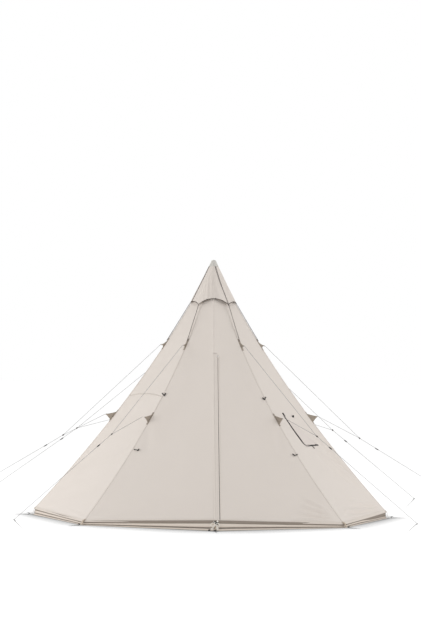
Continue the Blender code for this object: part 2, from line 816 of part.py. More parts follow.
def peg(name, middle, along, up):
    """A steel peg with its shank along a direction, and its hook closed towards another."""
    along, up = along.normalized(), up.normalized()
    side = up.cross(along)
    turn = Matrix((along, side, up)).transposed()
    made = rod(name, [turn @ p for p in peg_shape()], PEG_R, "peg steel", 1)
    made.location = middle
    return made


def pegs():
    """A peg on the ground at each corner, its hook over the eye's outer rim."""
    for azimuth, place_name in RIDGES.items():
        out = polar(1, azimuth, 0)
        hook_r = RIDGE_R + EYE_OUT + EYE_HOLE_R - PEG_R - GAP + HOOK_R
        middle = out * hook_r + Vector((0, 0, EYE_Z + LOOP_T / 2))
        peg(f"peg_{place_name}", middle, out, Vector((0, 0, 1)))


class Guy:
    """Where a guy rope runs: from both tabs of a ridge to a knot, and on to its peg."""

    def __init__(self, azimuth):
        upper, _ = tab_tip(azimuth, TAB_UPPER)
        lean = math.radians(GUY_PEG_LEAN)
        hook_z = PEG_L * math.sin(lean) + PEG_R * math.cos(lean) + GAP
        self.hook = polar(GUY_PEG_R, GUY_HEADINGS[azimuth], hook_z)
        level = Vector((self.hook.x - upper.x, self.hook.y - upper.y, 0)).normalized()
        self.level = level
        away, height = GUY_KNOT[abs(azimuth)]
        self.knot = upper + level * away
        self.knot.z = height
        self.upper = self.start(*tab_tip(azimuth, TAB_UPPER))
        self.lower = self.start(*tab_tip(azimuth, TAB_LOWER))
        self.shank = -level * math.cos(lean) - Vector((0, 0, math.sin(lean)))
        self.side = Vector((-level.y, level.x, 0))
        bulge = self.hook - self.shank * HOOK_R
        self.run = (bulge - self.knot).normalized()
        self.end = bulge - self.run * (PEG_R + GAP)

    def start(self, tip, out):
        """Where the rope's end clears the tip of a tab, whichever way it leaves."""
        leaving = (self.knot - tip).normalized().dot(out)
        return tip + out * (GAP + ROPE_R * math.sqrt(1 - leaving**2))


def guys():
    """Six guy ropes with a slider and a peg each."""
    for azimuth in GUY_HEADINGS:
        guy = Guy(azimuth)
        tag = RIDGES[azimuth]
        knot_mesh = bpy.data.meshes.new("knot")
        shape = bmesh.new()
        turn = Matrix.Rotation(0.35, 4, guy.run) @ Matrix.Rotation(0.2, 4, guy.side)
        bmesh.ops.create_icosphere(shape, subdivisions=2, radius=KNOT_R, matrix=turn)
        shape.to_mesh(knot_mesh)
        shape.free()
        knot = place("knot", knot_mesh, "rope")
        knot.location = guy.knot
        main = as_mesh(rod("main", [guy.upper, guy.knot, guy.end], ROPE_R, "rope", 2))
        inside = guy.knot + (guy.knot - guy.lower).normalized() * ROPE_R + guy.side * ROPE_R * 0.4
        branch = as_mesh(rod("branch", [guy.lower, inside], ROPE_R, "rope", 2))
        fuse(f"guy_rope_{tag}", [main, branch, knot], "rope")

        middle = guy.knot + guy.run * SLIDER_AT
        runner = axis(f"slider_run_{tag}", middle)
        slider(f"guy_slider_{tag}", middle, guy, runner)
        peg(f"guy_peg_{tag}", guy.hook, guy.shank, guy.side)


def slider(name, middle, guy, runner):
    """A flat runner with rounded ends and a bore for the rope."""
    along, wide = guy.run, guy.side
    thick = along.cross(wide)
    count = 12
    points = []
    for end in (-SLIDER_L / 2, SLIDER_L / 2):
        for width, depth in ((SLIDER_W / 2, SLIDER_T / 2), (SLIDER_BORE_R, SLIDER_BORE_R)):
            for k in range(count):
                a = 2 * math.pi * (k + 0.5) / count
                spot = wide * width * math.cos(a) + thick * depth * math.sin(a)
                points.append(middle + along * end + spot)
    faces = []
    for k in range(count):
        m = (k + 1) % count
        near, bore, far, far_bore = 0, count, 2 * count, 3 * count
        faces.append([near + k, near + m, bore + m, bore + k])
        faces.append([far + k, far + m, far_bore + m, far_bore + k])
        faces.append([near + k, near + m, far + m, far + k])
        faces.append([bore + k, bore + m, far_bore + m, far_bore + k])
    solid(name, points, faces, "black plastic", runner, smooth=True)


for old in list(bpy.data.objects):
    bpy.data.objects.remove(old)

pole()
groundsheet()
walls()
doors()
vent_cap()
vent_mesh()
ridge_tapes()
pegs()
guys()
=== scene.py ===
"""Octagonal cotton pyramid tent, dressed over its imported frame.

Metres, +Z up, the door towards -Y. A ridge is named by its azimuth in degrees from the
door, positive towards +X. The cloth follows curves worked out from the tent's own sizes.
"""

from __future__ import annotations

import functools
import logging
import math
from collections.abc import Callable, Sequence
from dataclasses import dataclass
from enum import Enum
from typing import ClassVar

import bmesh
import bpy
from mathutils import Matrix, Vector, noise


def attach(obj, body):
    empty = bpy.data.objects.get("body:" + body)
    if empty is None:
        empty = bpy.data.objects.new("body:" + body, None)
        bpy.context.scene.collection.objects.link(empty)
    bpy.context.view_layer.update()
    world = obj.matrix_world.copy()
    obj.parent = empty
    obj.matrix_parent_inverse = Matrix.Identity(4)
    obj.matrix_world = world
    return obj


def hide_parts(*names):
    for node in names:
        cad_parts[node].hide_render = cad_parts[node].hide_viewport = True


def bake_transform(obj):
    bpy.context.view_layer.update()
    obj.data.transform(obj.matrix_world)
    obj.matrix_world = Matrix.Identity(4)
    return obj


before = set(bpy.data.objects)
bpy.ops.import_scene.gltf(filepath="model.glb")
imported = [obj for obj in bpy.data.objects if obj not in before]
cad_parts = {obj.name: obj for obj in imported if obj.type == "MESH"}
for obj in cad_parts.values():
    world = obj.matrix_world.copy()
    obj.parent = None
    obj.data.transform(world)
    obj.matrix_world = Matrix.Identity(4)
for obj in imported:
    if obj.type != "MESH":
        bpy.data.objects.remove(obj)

LOG = logging.getLogger("tent")
MESH = bpy.ops.mesh
UP = Vector((0, 0, 1))
RIDGES = {0: "front", 45: "front_right", 90: "right", 135: "rear_right", 180: "rear",
          -135: "rear_left", -90: "left", -45: "front_left"}
Pair = tuple[float, float]
Triple = tuple[float, float, float]
Rows = Sequence[Sequence[Vector]]
Piece = bpy.types.Object
Tree = bpy.types.NodeTree
Socket = bpy.types.NodeSocket


class Coordinates(Enum):
    """What a finish's pattern follows."""

    OBJECT = "Object"
    CLOTH = "UV"


class Hold(Enum):
    """How a sheet of cloth is held."""

    STRETCHED = "stretched"
    LAID = "laid"
    HUNG = "hung"


def steps(count: int, first: float = 0.0, last: float = 1.0) -> list[float]:
    """Even steps from first to last, both included."""
    return [first + (last - first) * k / count for k in range(count + 1)]


def rounds(count: int) -> list[float]:
    """Even steps of azimuth all round, once each."""
    return [360 * k / count for k in range(count)]


def signed(azimuth: float) -> float:
    """An azimuth from -180 up to 180."""
    return (azimuth + 180) % 360 - 180


# ---------------------------------------------------------------- shader nodes


class Nodes:
    """Shader nodes, and the node groups that several finishes share."""

    @staticmethod
    def feed(tree: Tree, socket: Socket, value: object) -> None:
        """Give an input a value, or link it to another socket."""
        if isinstance(value, Socket):
            tree.links.new(value, socket)
        else:
            socket.default_value = value

    @classmethod
    def add(cls, tree: Tree, kind: str, **inputs: object) -> bpy.types.Node:
        """Add a node and feed its inputs, whose names have _ for a space."""
        node = tree.nodes.new(f"ShaderNode{kind}")
        for label, value in inputs.items():
            cls.feed(tree, node.inputs[label.replace("_", " ")], value)
        return node

    @classmethod
    def math(cls, tree: Tree, operation: str, *terms: object) -> Socket:
        """Add a Math node whose terms are numbers or sockets, and return its output."""
        node = tree.nodes.new("ShaderNodeMath")
        node.operation = operation
        for socket, term in zip(node.inputs, terms):
            cls.feed(tree, socket, term)
        return node.outputs[0]

    @classmethod
    def mix(cls, tree: Tree, factor: Socket, a: object, b: Triple) -> Socket:
        """Mix two colours, the first a tone or a socket, and return the result."""
        node = tree.nodes.new("ShaderNodeMix")
        node.data_type = "RGBA"
        cls.feed(tree, node.inputs["Factor"], factor)
        cls.feed(tree, node.inputs["A"], (*a, 1) if isinstance(a, tuple) else a)
        cls.feed(tree, node.inputs["B"], (*b, 1))
        return node.outputs["Result"]

    @staticmethod
    def start(name: str, **inputs: float) -> tuple:
        """Begin a group with a Vector input and number inputs.

        Args:
            name: the group's name.
            inputs: defaults of its number inputs.

        Returns:
            The tree, its given sockets by name and the socket of its result.
        """
        tree = bpy.data.node_groups.new(name, "ShaderNodeTree")
        tree.interface.new_socket("Vector", in_out="INPUT", socket_type="NodeSocketVector")
        for label, value in inputs.items():
            socket = tree.interface.new_socket(label, in_out="INPUT", socket_type="NodeSocketFloat")
            socket.default_value = value
        tree.interface.new_socket("Value", in_out="OUTPUT", socket_type="NodeSocketFloat")
        given = tree.nodes.new("NodeGroupInput").outputs
        return tree, given, tree.nodes.new("NodeGroupOutput").inputs[0]

    @classmethod
    @functools.cache
    def weave(cls) -> Tree:
        """Plain weave: the height of crossing threads, Pitch metres apart."""
        tree, given, result = cls.start("plain weave", Pitch=0.001)
        split = cls.add(tree, "SeparateXYZ", Vector=given["Vector"])
        turn = cls.math(tree, "DIVIDE", math.tau, given["Pitch"])
        waves = (
            cls.math(tree, "SINE", cls.math(tree, "MULTIPLY", split.outputs[axis], turn))
            for axis in (0, 1)
        )
        woven = cls.math(tree, "MULTIPLY", *waves)
        cls.feed(tree, result, cls.math(tree, "MULTIPLY_ADD", woven, 0.5, 0.5))
        return tree

    @classmethod
    @functools.cache
    def mottle(cls) -> Tree:
        """Soft uneven patches from 0 to 1, Size metres across, with Contrast."""
        tree, given, result = cls.start("mottle", Size=0.1, Contrast=0.5)
        scale = cls.math(tree, "DIVIDE", 1.0, given["Size"])
        texture = cls.add(tree, "TexNoise", Detail=4.0, Vector=given["Vector"], Scale=scale)
        centred = cls.math(tree, "SUBTRACT", texture.outputs["Fac"], 0.5)
        moved = cls.math(tree, "ADD", cls.math(tree, "MULTIPLY", centred, given["Contrast"]), 0.5)
        moved.node.use_clamp = True
        cls.feed(tree, result, moved)
        return tree

    @classmethod
    @functools.cache
    def stitches(cls) -> Tree:
        """A broken line of thread: 1 on the stitches that run along the pattern's X."""
        tree, given, result = cls.start("stitches", Across=0.0, Pitch=0.005, Thread=0.0008)
        split = cls.add(tree, "SeparateXYZ", Vector=given["Vector"])
        away = cls.math(
            tree, "SUBTRACT", cls.math(tree, "ABSOLUTE", split.outputs[1]), given["Across"]
        )
        near = cls.math(tree, "LESS_THAN", cls.math(tree, "ABSOLUTE", away), given["Thread"])
        part = cls.math(tree, "FRACT", cls.math(tree, "DIVIDE", split.outputs[0], given["Pitch"]))
        on = cls.math(tree, "LESS_THAN", part, 0.7)
        cls.feed(tree, result, cls.math(tree, "MULTIPLY", near, on))
        return tree


# ---------------------------------------------------------------- finishes


@dataclass(frozen=True)
class Finish:
    """A surface finish with its light and dark tones, linear RGB.

    Args:
        name: the material's name.
        slot: the record's material slot that it belongs to; not used.
        light: one tone of its uneven patches.
        dark: the other tone of its uneven patches.
        roughness: of the whole surface.
        patch: size in metres of the uneven patches.
        contrast: how far the patches go between the tones.
        coordinates: what the pattern follows.
    """

    name: str
    slot: str
    light: Triple
    dark: Triple
    roughness: float = 0.8
    patch: float = 0.3
    contrast: float = 0.8
    coordinates: Coordinates = Coordinates.OBJECT

    def begin(self) -> tuple:
        """Make the material with its tones mixed by patches.

        Returns:
            The material, its node tree, its shader, its coordinates and its colour.
        """
        material = bpy.data.materials.new(self.name)
        material.use_nodes = True
        tree = material.node_tree
        shader = tree.nodes["Principled BSDF"]
        shader.inputs["Roughness"].default_value = self.roughness
        where = tree.nodes.new("ShaderNodeTexCoord").outputs[self.coordinates.value]
        patches = self.group(tree, Nodes.mottle(), where, Size=self.patch, Contrast=self.contrast)
        colour = Nodes.mix(tree, patches, self.light, self.dark)
        tree.links.new(colour, shader.inputs["Base Color"])
        return material, tree, shader, where, colour

    @staticmethod
    def group(tree: Tree, group: Tree, where: Socket, **values: float) -> Socket:
        """Place a shader group, feed its Vector, set its numbers and return its output."""
        node = tree.nodes.new("ShaderNodeGroup")
        node.node_tree = group
        for label, value in {"Vector": where, **values}.items():
            Nodes.feed(tree, node.inputs[label], value)
        return node.outputs[0]

    @staticmethod
    def bump(
        tree: Tree,
        shader: bpy.types.ShaderNode,
        height: Socket,
        distance: float,
        strength: float = 1.0,
    ) -> None:
        """Feed a height to the shader's normal, over any bump already there."""
        node = Nodes.add(tree, "Bump", Distance=distance, Strength=strength, Height=height)
        for link in shader.inputs["Normal"].links:
            tree.links.new(link.from_socket, node.inputs["Normal"])
        tree.links.new(node.outputs[0], shader.inputs["Normal"])

    def build(self) -> bpy.types.Material:
        """Make the plain finish."""
        material, tree, shader, where, _ = self.begin()
        grain = self.group(tree, Nodes.mottle(), where, Size=0.002, Contrast=1.0)
        self.bump(tree, shader, grain, 0.0002, 0.4)
        return material

    def material(self) -> bpy.types.Material:
        """The material, made once."""
        return bpy.data.materials.get(self.name) or self.build()


@dataclass(frozen=True)
class Cloth(Finish):
    """Woven cloth.

    Args:
        pitch: of the threads, in metres.
        crumple: height in metres of the small creases.
        crumple_size: how far apart they lie, in metres.
        seam: distance in metres of stitch lines from the middle of a strip, 0 for none.
        thread: linear RGB of the stitching.
    """

    roughness: float = 0.9
    coordinates: Coordinates = Coordinates.CLOTH
    pitch: float = 0.0011
    crumple: float = 0.0016
    crumple_size: float = 0.09
    seam: float = 0.0
    thread: Triple = (0.80, 0.76, 0.70)

    def build(self) -> bpy.types.Material:
        """Make the cloth with its weave, small creases and stitch lines."""
        material, tree, shader, where, colour = self.begin()
        shader.inputs["Sheen Weight"].default_value = 0.12
        shader.inputs["Sheen Roughness"].default_value = 0.5
        weave = self.group(tree, Nodes.weave(), where, Pitch=self.pitch)
        self.bump(tree, shader, weave, self.pitch * 0.12, 0.5)
        crumple = self.group(tree, Nodes.mottle(), where, Size=self.crumple_size, Contrast=1.6)
        self.bump(tree, shader, crumple, self.crumple, 0.5)
        if self.seam:
            line = self.group(tree, Nodes.stitches(), where, Across=self.seam)
            sewn = Nodes.mix(tree, line, colour, self.thread)
            tree.links.new(sewn, shader.inputs["Base Color"])
            self.bump(tree, shader, line, -0.0006)
        return material


@dataclass(frozen=True)
class Net(Finish):
    """Fly mesh: threads with open holes between them."""

    coordinates: Coordinates = Coordinates.CLOTH
    pitch: float = 0.002

    def build(self) -> bpy.types.Material:
        """Make the net, with its holes in the alpha."""
        material, tree, shader, where, _ = self.begin()
        weave = self.group(tree, Nodes.weave(), where, Pitch=self.pitch)
        tree.links.new(Nodes.math(tree, "GREATER_THAN", weave, 0.22), shader.inputs["Alpha"])
        self.bump(tree, shader, weave, 0.0002)
        return material


@dataclass(frozen=True)
class Metal(Finish):
    """Bare or plated metal with fine streaks along it, and its share of bare metal."""

    roughness: float = 0.38
    metallic: float = 1.0

    def build(self) -> bpy.types.Material:
        """Make the metal with scuffs in its roughness."""
        material, tree, shader, where, _ = self.begin()
        shader.inputs["Metallic"].default_value = self.metallic
        stretch = Nodes.add(tree, "Mapping", Scale=(1, 1, 0.05), Vector=where)
        streaks = self.group(tree, Nodes.mottle(), stretch.outputs[0], Size=0.003, Contrast=1.4)
        rough = Nodes.math(tree, "MULTIPLY_ADD", streaks, 0.22, self.roughness - 0.1)
        tree.links.new(rough, shader.inputs["Roughness"])
        self.bump(tree, shader, streaks, 0.0001, 0.5)
        return material


@dataclass(frozen=True)
class Coil(Finish):
    """Zip coil: fine teeth across the strip.

    Args:
        pitch: of the teeth, in metres.
        upper_tone: linear RGB of its paler upper end, None where it is one tone.
        pale_from_z: height where it begins to turn paler.
        pale_z: height where it has the upper tone all over.
    """

    coordinates: Coordinates = Coordinates.CLOTH
    pitch: float = 0.0025
    upper_tone: Triple | None = None
    pale_from_z: float = 0.2
    pale_z: float = 1.9

    def build(self) -> bpy.types.Material:
        """Make the coil with its teeth as height, and paler towards its upper end."""
        material, tree, shader, where, colour = self.begin()
        if self.upper_tone:
            place = tree.nodes.new("ShaderNodeTexCoord").outputs["Object"]
            split = Nodes.add(tree, "SeparateXYZ", Vector=place)
            span = {"From_Min": self.pale_from_z, "From_Max": self.pale_z}
            ramp = Nodes.add(tree, "MapRange", Value=split.outputs["Z"], **span)
            upper_mix = Nodes.mix(tree, ramp.outputs[0], colour, self.upper_tone)
            tree.links.new(upper_mix, shader.inputs["Base Color"])
        split = Nodes.add(tree, "SeparateXYZ", Vector=where)
        along = Nodes.math(tree, "MULTIPLY", split.outputs[0], math.tau / self.pitch)
        self.bump(tree, shader, Nodes.math(tree, "SINE", along), 0.0006)
        return material


def webbing(name: str, light: Triple, dark: Triple, **more: object) -> Cloth:
    """A woven strap's finish."""
    return Cloth(name, "seam_tape", light, dark, patch=0.03, crumple=0.0003, pitch=0.0018, **more)


def binding(name: str, light: Triple, dark: Triple, patch: float = 0.1) -> Cloth:
    """A brown edge tape's finish."""
    return Cloth(name, "seam_tape", light, dark, patch=patch, crumple=0.0004, pitch=0.0016)


def braid(name: str, light: Triple, dark: Triple, **more: float) -> Cloth:
    """A cord's finish."""
    values = {"patch": 0.02, "crumple": 0.0003, "pitch": 0.003, **more}
    return Cloth(name, "rope", light, dark, coordinates=Coordinates.OBJECT, **values)


CANVAS = Cloth("cotton canvas", "canvas", (0.725, 0.665, 0.612), (0.690, 0.627, 0.572), patch=0.55)
CANVAS_TRIM = Cloth(
    "canvas tape", "seam_tape", (0.715, 0.655, 0.600), (0.675, 0.612, 0.555),
    patch=0.12, crumple=0.0005, seam=0.0115, thread=(0.50, 0.45, 0.40),
)
CANVAS_HEM = Cloth(
    "canvas hem", "canvas", (0.70, 0.635, 0.575), (0.655, 0.585, 0.52),
    patch=0.2, crumple=0.0008, seam=0.009,
)
FELLED_SEAM = Cloth(
    "felled seam", "canvas", (0.60, 0.54, 0.48), (0.55, 0.49, 0.43),
    patch=0.1, crumple=0.0003, seam=0.003,
)
CAP_SEAM = Cloth(
    "cap seam", "canvas", (0.20, 0.168, 0.155), (0.155, 0.13, 0.12),
    patch=0.1, crumple=0.0003, seam=0.0025,
)
TIP_PATCH = Cloth(
    "cap tip patch", "canvas", (0.62, 0.60, 0.56), (0.57, 0.55, 0.51), patch=0.03, crumple=0.0004
)
FLAP_CANVAS = Cloth(
    "window flap canvas", "canvas", (0.70, 0.635, 0.59), (0.665, 0.60, 0.553), patch=0.2
)
GROUNDSHEET = Cloth(
    "coated groundsheet", "groundsheet", (0.74, 0.66, 0.585), (0.66, 0.58, 0.50),
    roughness=0.62, patch=0.25, crumple=0.002, pitch=0.0009,
)
TAB_WEBBING = webbing(
    "tab webbing", (0.41, 0.352, 0.292), (0.32, 0.27, 0.22), seam=0.006, thread=(0.14, 0.11, 0.08)
)
DARK_WEBBING = webbing("dark webbing", (0.055, 0.045, 0.038), (0.035, 0.028, 0.022))
PALE_WEBBING = webbing("pale webbing", (0.56, 0.47, 0.37), (0.47, 0.38, 0.29), seam=0.008)
CREAM_WEBBING = webbing("cream webbing", (0.96, 0.92, 0.85), (0.86, 0.80, 0.71), seam=0.006)
BROWN_BINDING = binding("brown binding", (0.052, 0.037, 0.027), (0.035, 0.025, 0.018))
# Brown trim under the hem whose dark tone is also painted shade from the gap under the hem.
HEM_TRIM_AND_SHADE = binding("hem trim and painted shade", (0.32, 0.27, 0.225), (0.24, 0.20, 0.165))
# The welded seam, its dark tone also painted shade in the crease near the ground.
WELD_SEAM_AND_SHADE = binding("weld seam and painted shade", (0.23, 0.19, 0.16), (0.165, 0.135, 0.113), 0.15)
DARK_ELASTIC = braid(
    "dark elastic", (0.13, 0.105, 0.095), (0.09, 0.072, 0.065), crumple=0.0002, pitch=0.002
)
WHITE_CORD = braid("white cord", (0.33, 0.33, 0.328), (0.25, 0.25, 0.25))
CREAM_CORD = braid("cream cord", (0.90, 0.86, 0.79), (0.80, 0.74, 0.66))
FLY_MESH = Net("fly mesh", "mesh", (0.035, 0.034, 0.033), (0.02, 0.02, 0.02), 0.85)
ZIP_COIL = Coil("zip coil", "zip", (0.016, 0.012, 0.010), (0.009, 0.007, 0.006), 0.8)
DOOR_COIL = Coil(
    "door zip coil", "zip", (0.060, 0.052, 0.046), (0.040, 0.034, 0.030), 0.5,
    upper_tone=(0.40, 0.355, 0.32),
)
BLACK_PLASTIC = Finish(
    "black plastic", "black_plastic", (0.016, 0.014, 0.013), (0.009, 0.008, 0.008), 0.7, 0.02
)
PLATED_STEEL = Metal("plated steel", "pole_steel", (0.66, 0.66, 0.65), (0.54, 0.54, 0.54))
PEG_STEEL = Metal(
    "peg steel", "peg_steel", (0.07, 0.065, 0.06), (0.035, 0.033, 0.03), 0.5, metallic=0.4
)


# ---------------------------------------------------------------- the tent's form


@dataclass(frozen=True)
class Fold:
    """A crease in a panel, from one place to another, as (share across, height).

    Args:
        start: where the crease begins.
        end: where it dies out.
        width: of the crease, in metres.
        depth: how far it stands out, or in where negative, in metres.
    """

    start: Pair
    end: Pair
    width: float
    depth: float


@dataclass(frozen=True)
class TentForm:
    """The tent's own curves.

    Args:
        apex_z: top of the cloth over the pole.
        corner_r: from the pole to a corner of the hem.
        collar_z: where the canvas ends under the cap.
        zip_top_z: top end of the door's zip.
        floor_hem_z: height that the straight lines of the door run down to.
        sag: how far each ridge curves in, by azimuth.
        hem: height of the cloth's lower edge at each ridge, by azimuth.
        fall: how far a panel hangs in behind its ridges.
    """

    apex_z: float = 3.0
    corner_r: float = 2.08
    collar_z: float = 2.60
    zip_top_z: float = 1.92
    floor_hem_z: float = 0.072
    fall: float = 0.020
    sag: ClassVar[dict[int, float]] = {0: 0.10, 45: 0.125, 90: 0.07, 135: 0.11, 180: 0.10}
    hem: ClassVar[dict[int, float]] = {0: 0.104, 45: 0.036, 90: 0.068, 135: 0.058, 180: 0.062}

    @staticmethod
    def polar(radius: float, azimuth: float, z: float) -> Vector:
        """The point at a radius from the pole, an azimuth and a height."""
        a = math.radians(azimuth)
        return Vector((radius * math.sin(a), -radius * math.cos(a), z))

    def radius(self, azimuth: int, z: float) -> float:
        """Distance from the pole to a ridge."""
        a = abs(azimuth)
        foot = self.hem[45] if a == 45 else self.floor_hem_z
        share = (self.apex_z - z) / (self.apex_z - foot)
        return self.corner_r * (share - 4 * self.sag[a] * share * (1 - share))

    def ridge(self, azimuth: int, z: float) -> Vector:
        """The point of a ridge at a height; the door's edge is straight below its zip."""
        if azimuth == 0 and z < self.zip_top_z:
            top = self.radius(0, self.zip_top_z)
            share = (z - self.floor_hem_z) / (self.zip_top_z - self.floor_hem_z)
            return self.polar(self.corner_r + (top - self.corner_r) * share, 0, z)
        return self.polar(self.radius(azimuth, z), azimuth, z)

    def hem_z(self, azimuth: int) -> float:
        """Height of the cloth's lower edge at a ridge."""
        return self.hem[abs(azimuth)]

    def edge_z(self, azimuth: float) -> float:
        """Height of the cloth's lower edge anywhere round the tent."""
        a = abs(signed(azimuth))
        low = min(int(a // 45), 3) * 45
        share = (a - low) / 45
        return self.hem[low] * (1 - share) + self.hem[low + 45] * share


FORM = TentForm()


@dataclass(frozen=True)
class Panel:
    """The cloth between two neighbouring ridges, from the first round to the second.

    Args:
        first: azimuth of the ridge on the left, seen from outside.
        second: azimuth of the ridge on the right.
        fall: how far it hangs in.
        folds: its creases.
        slant: length down the cloth for each metre of height.
    """

    first: int
    second: int
    fall: float = FORM.fall
    folds: tuple[Fold, ...] = ()
    slant: float = 1.25

    def low(self, across: float) -> float:
        """Height of the hem at a share across."""
        return FORM.hem_z(self.first) * (1 - across) + FORM.hem_z(self.second) * across

    def share_down(self, across: float, z: float) -> float:
        """Share down of a height."""
        return (FORM.collar_z - z) / (FORM.collar_z - self.low(across))

    def ends(self, down: float) -> list[Vector]:
        """Both ridge points of a row."""
        return [
            FORM.ridge(a, FORM.collar_z - down * (FORM.collar_z - FORM.hem_z(a)))
            for a in (self.first, self.second)
        ]

    def width_at(self, across: float, z: float) -> float:
        """Width of the panel at a height."""
        left, right = self.ends(self.share_down(across, z))
        return (right - left).length

    def normal(self, down: float) -> Vector:
        """Unit normal of the panel at a row, away from the pole."""
        left, right = self.ends(down)
        upper, lower = self.ends(down - 0.02), self.ends(down + 0.02)
        slope = (upper[0] + upper[1]) - (lower[0] + lower[1])
        made = (right - left).cross(slope).normalized()
        return made if made.dot(Vector((left.x + right.x, left.y + right.y, 0))) > 0 else -made

    def relief(self, across: float, down: float) -> float:
        """How far the cloth stands out from the straight line between its ridges."""
        left, right = self.ends(down)
        width = (right - left).length
        held = max(0.0, math.sin(math.pi * across)) ** 0.75
        rows = min(1.0, 8 * down) * (1 - 0.55 * down**8)
        out = -self.fall * held * rows * min(1.0, width / 0.9)
        z = FORM.collar_z - down * (FORM.collar_z - self.low(across))
        place = Vector(((across - 0.5) * width, z * self.slant))
        for fold in self.folds:
            start, end = (
                Vector(((u - 0.5) * self.width_at(u, z), z * self.slant))
                for u, z in (fold.start, fold.end)
            )
            run = end - start
            share = max(0.0, min(1.0, (place - start).dot(run) / run.length_squared))
            distance = (place - start - run * share).length / fold.width
            swell = math.sin(math.pi * share) ** 0.5
            out += fold.depth * math.exp(-distance * distance) * swell * min(1, held * 3)
        spot = (left.lerp(right, across)) * 2.3
        out += noise.noise(spot) * 0.006 * held * rows
        out += noise.noise(spot * 3.1 + Vector((5, 2, 9))) * 0.0016 * held * rows
        return out

    def point(self, across: float, down: float, height: float = 0.0) -> Vector:
        """The place on the cloth, or at a height above it."""
        left, right = self.ends(down)
        middle = left.lerp(right, across)
        return middle + self.normal(down) * (self.relief(across, down) + height)

    def at(self, across: float, z: float, height: float = 0.0) -> Vector:
        """The place on the cloth at a share across and a height above the ground."""
        return self.point(across, self.share_down(across, z), height)

    def out(self, across: float, z: float) -> Vector:
        """The normal at a share across and a height above the ground."""
        return self.normal(self.share_down(across, z))


# ---------------------------------------------------------------- making pieces


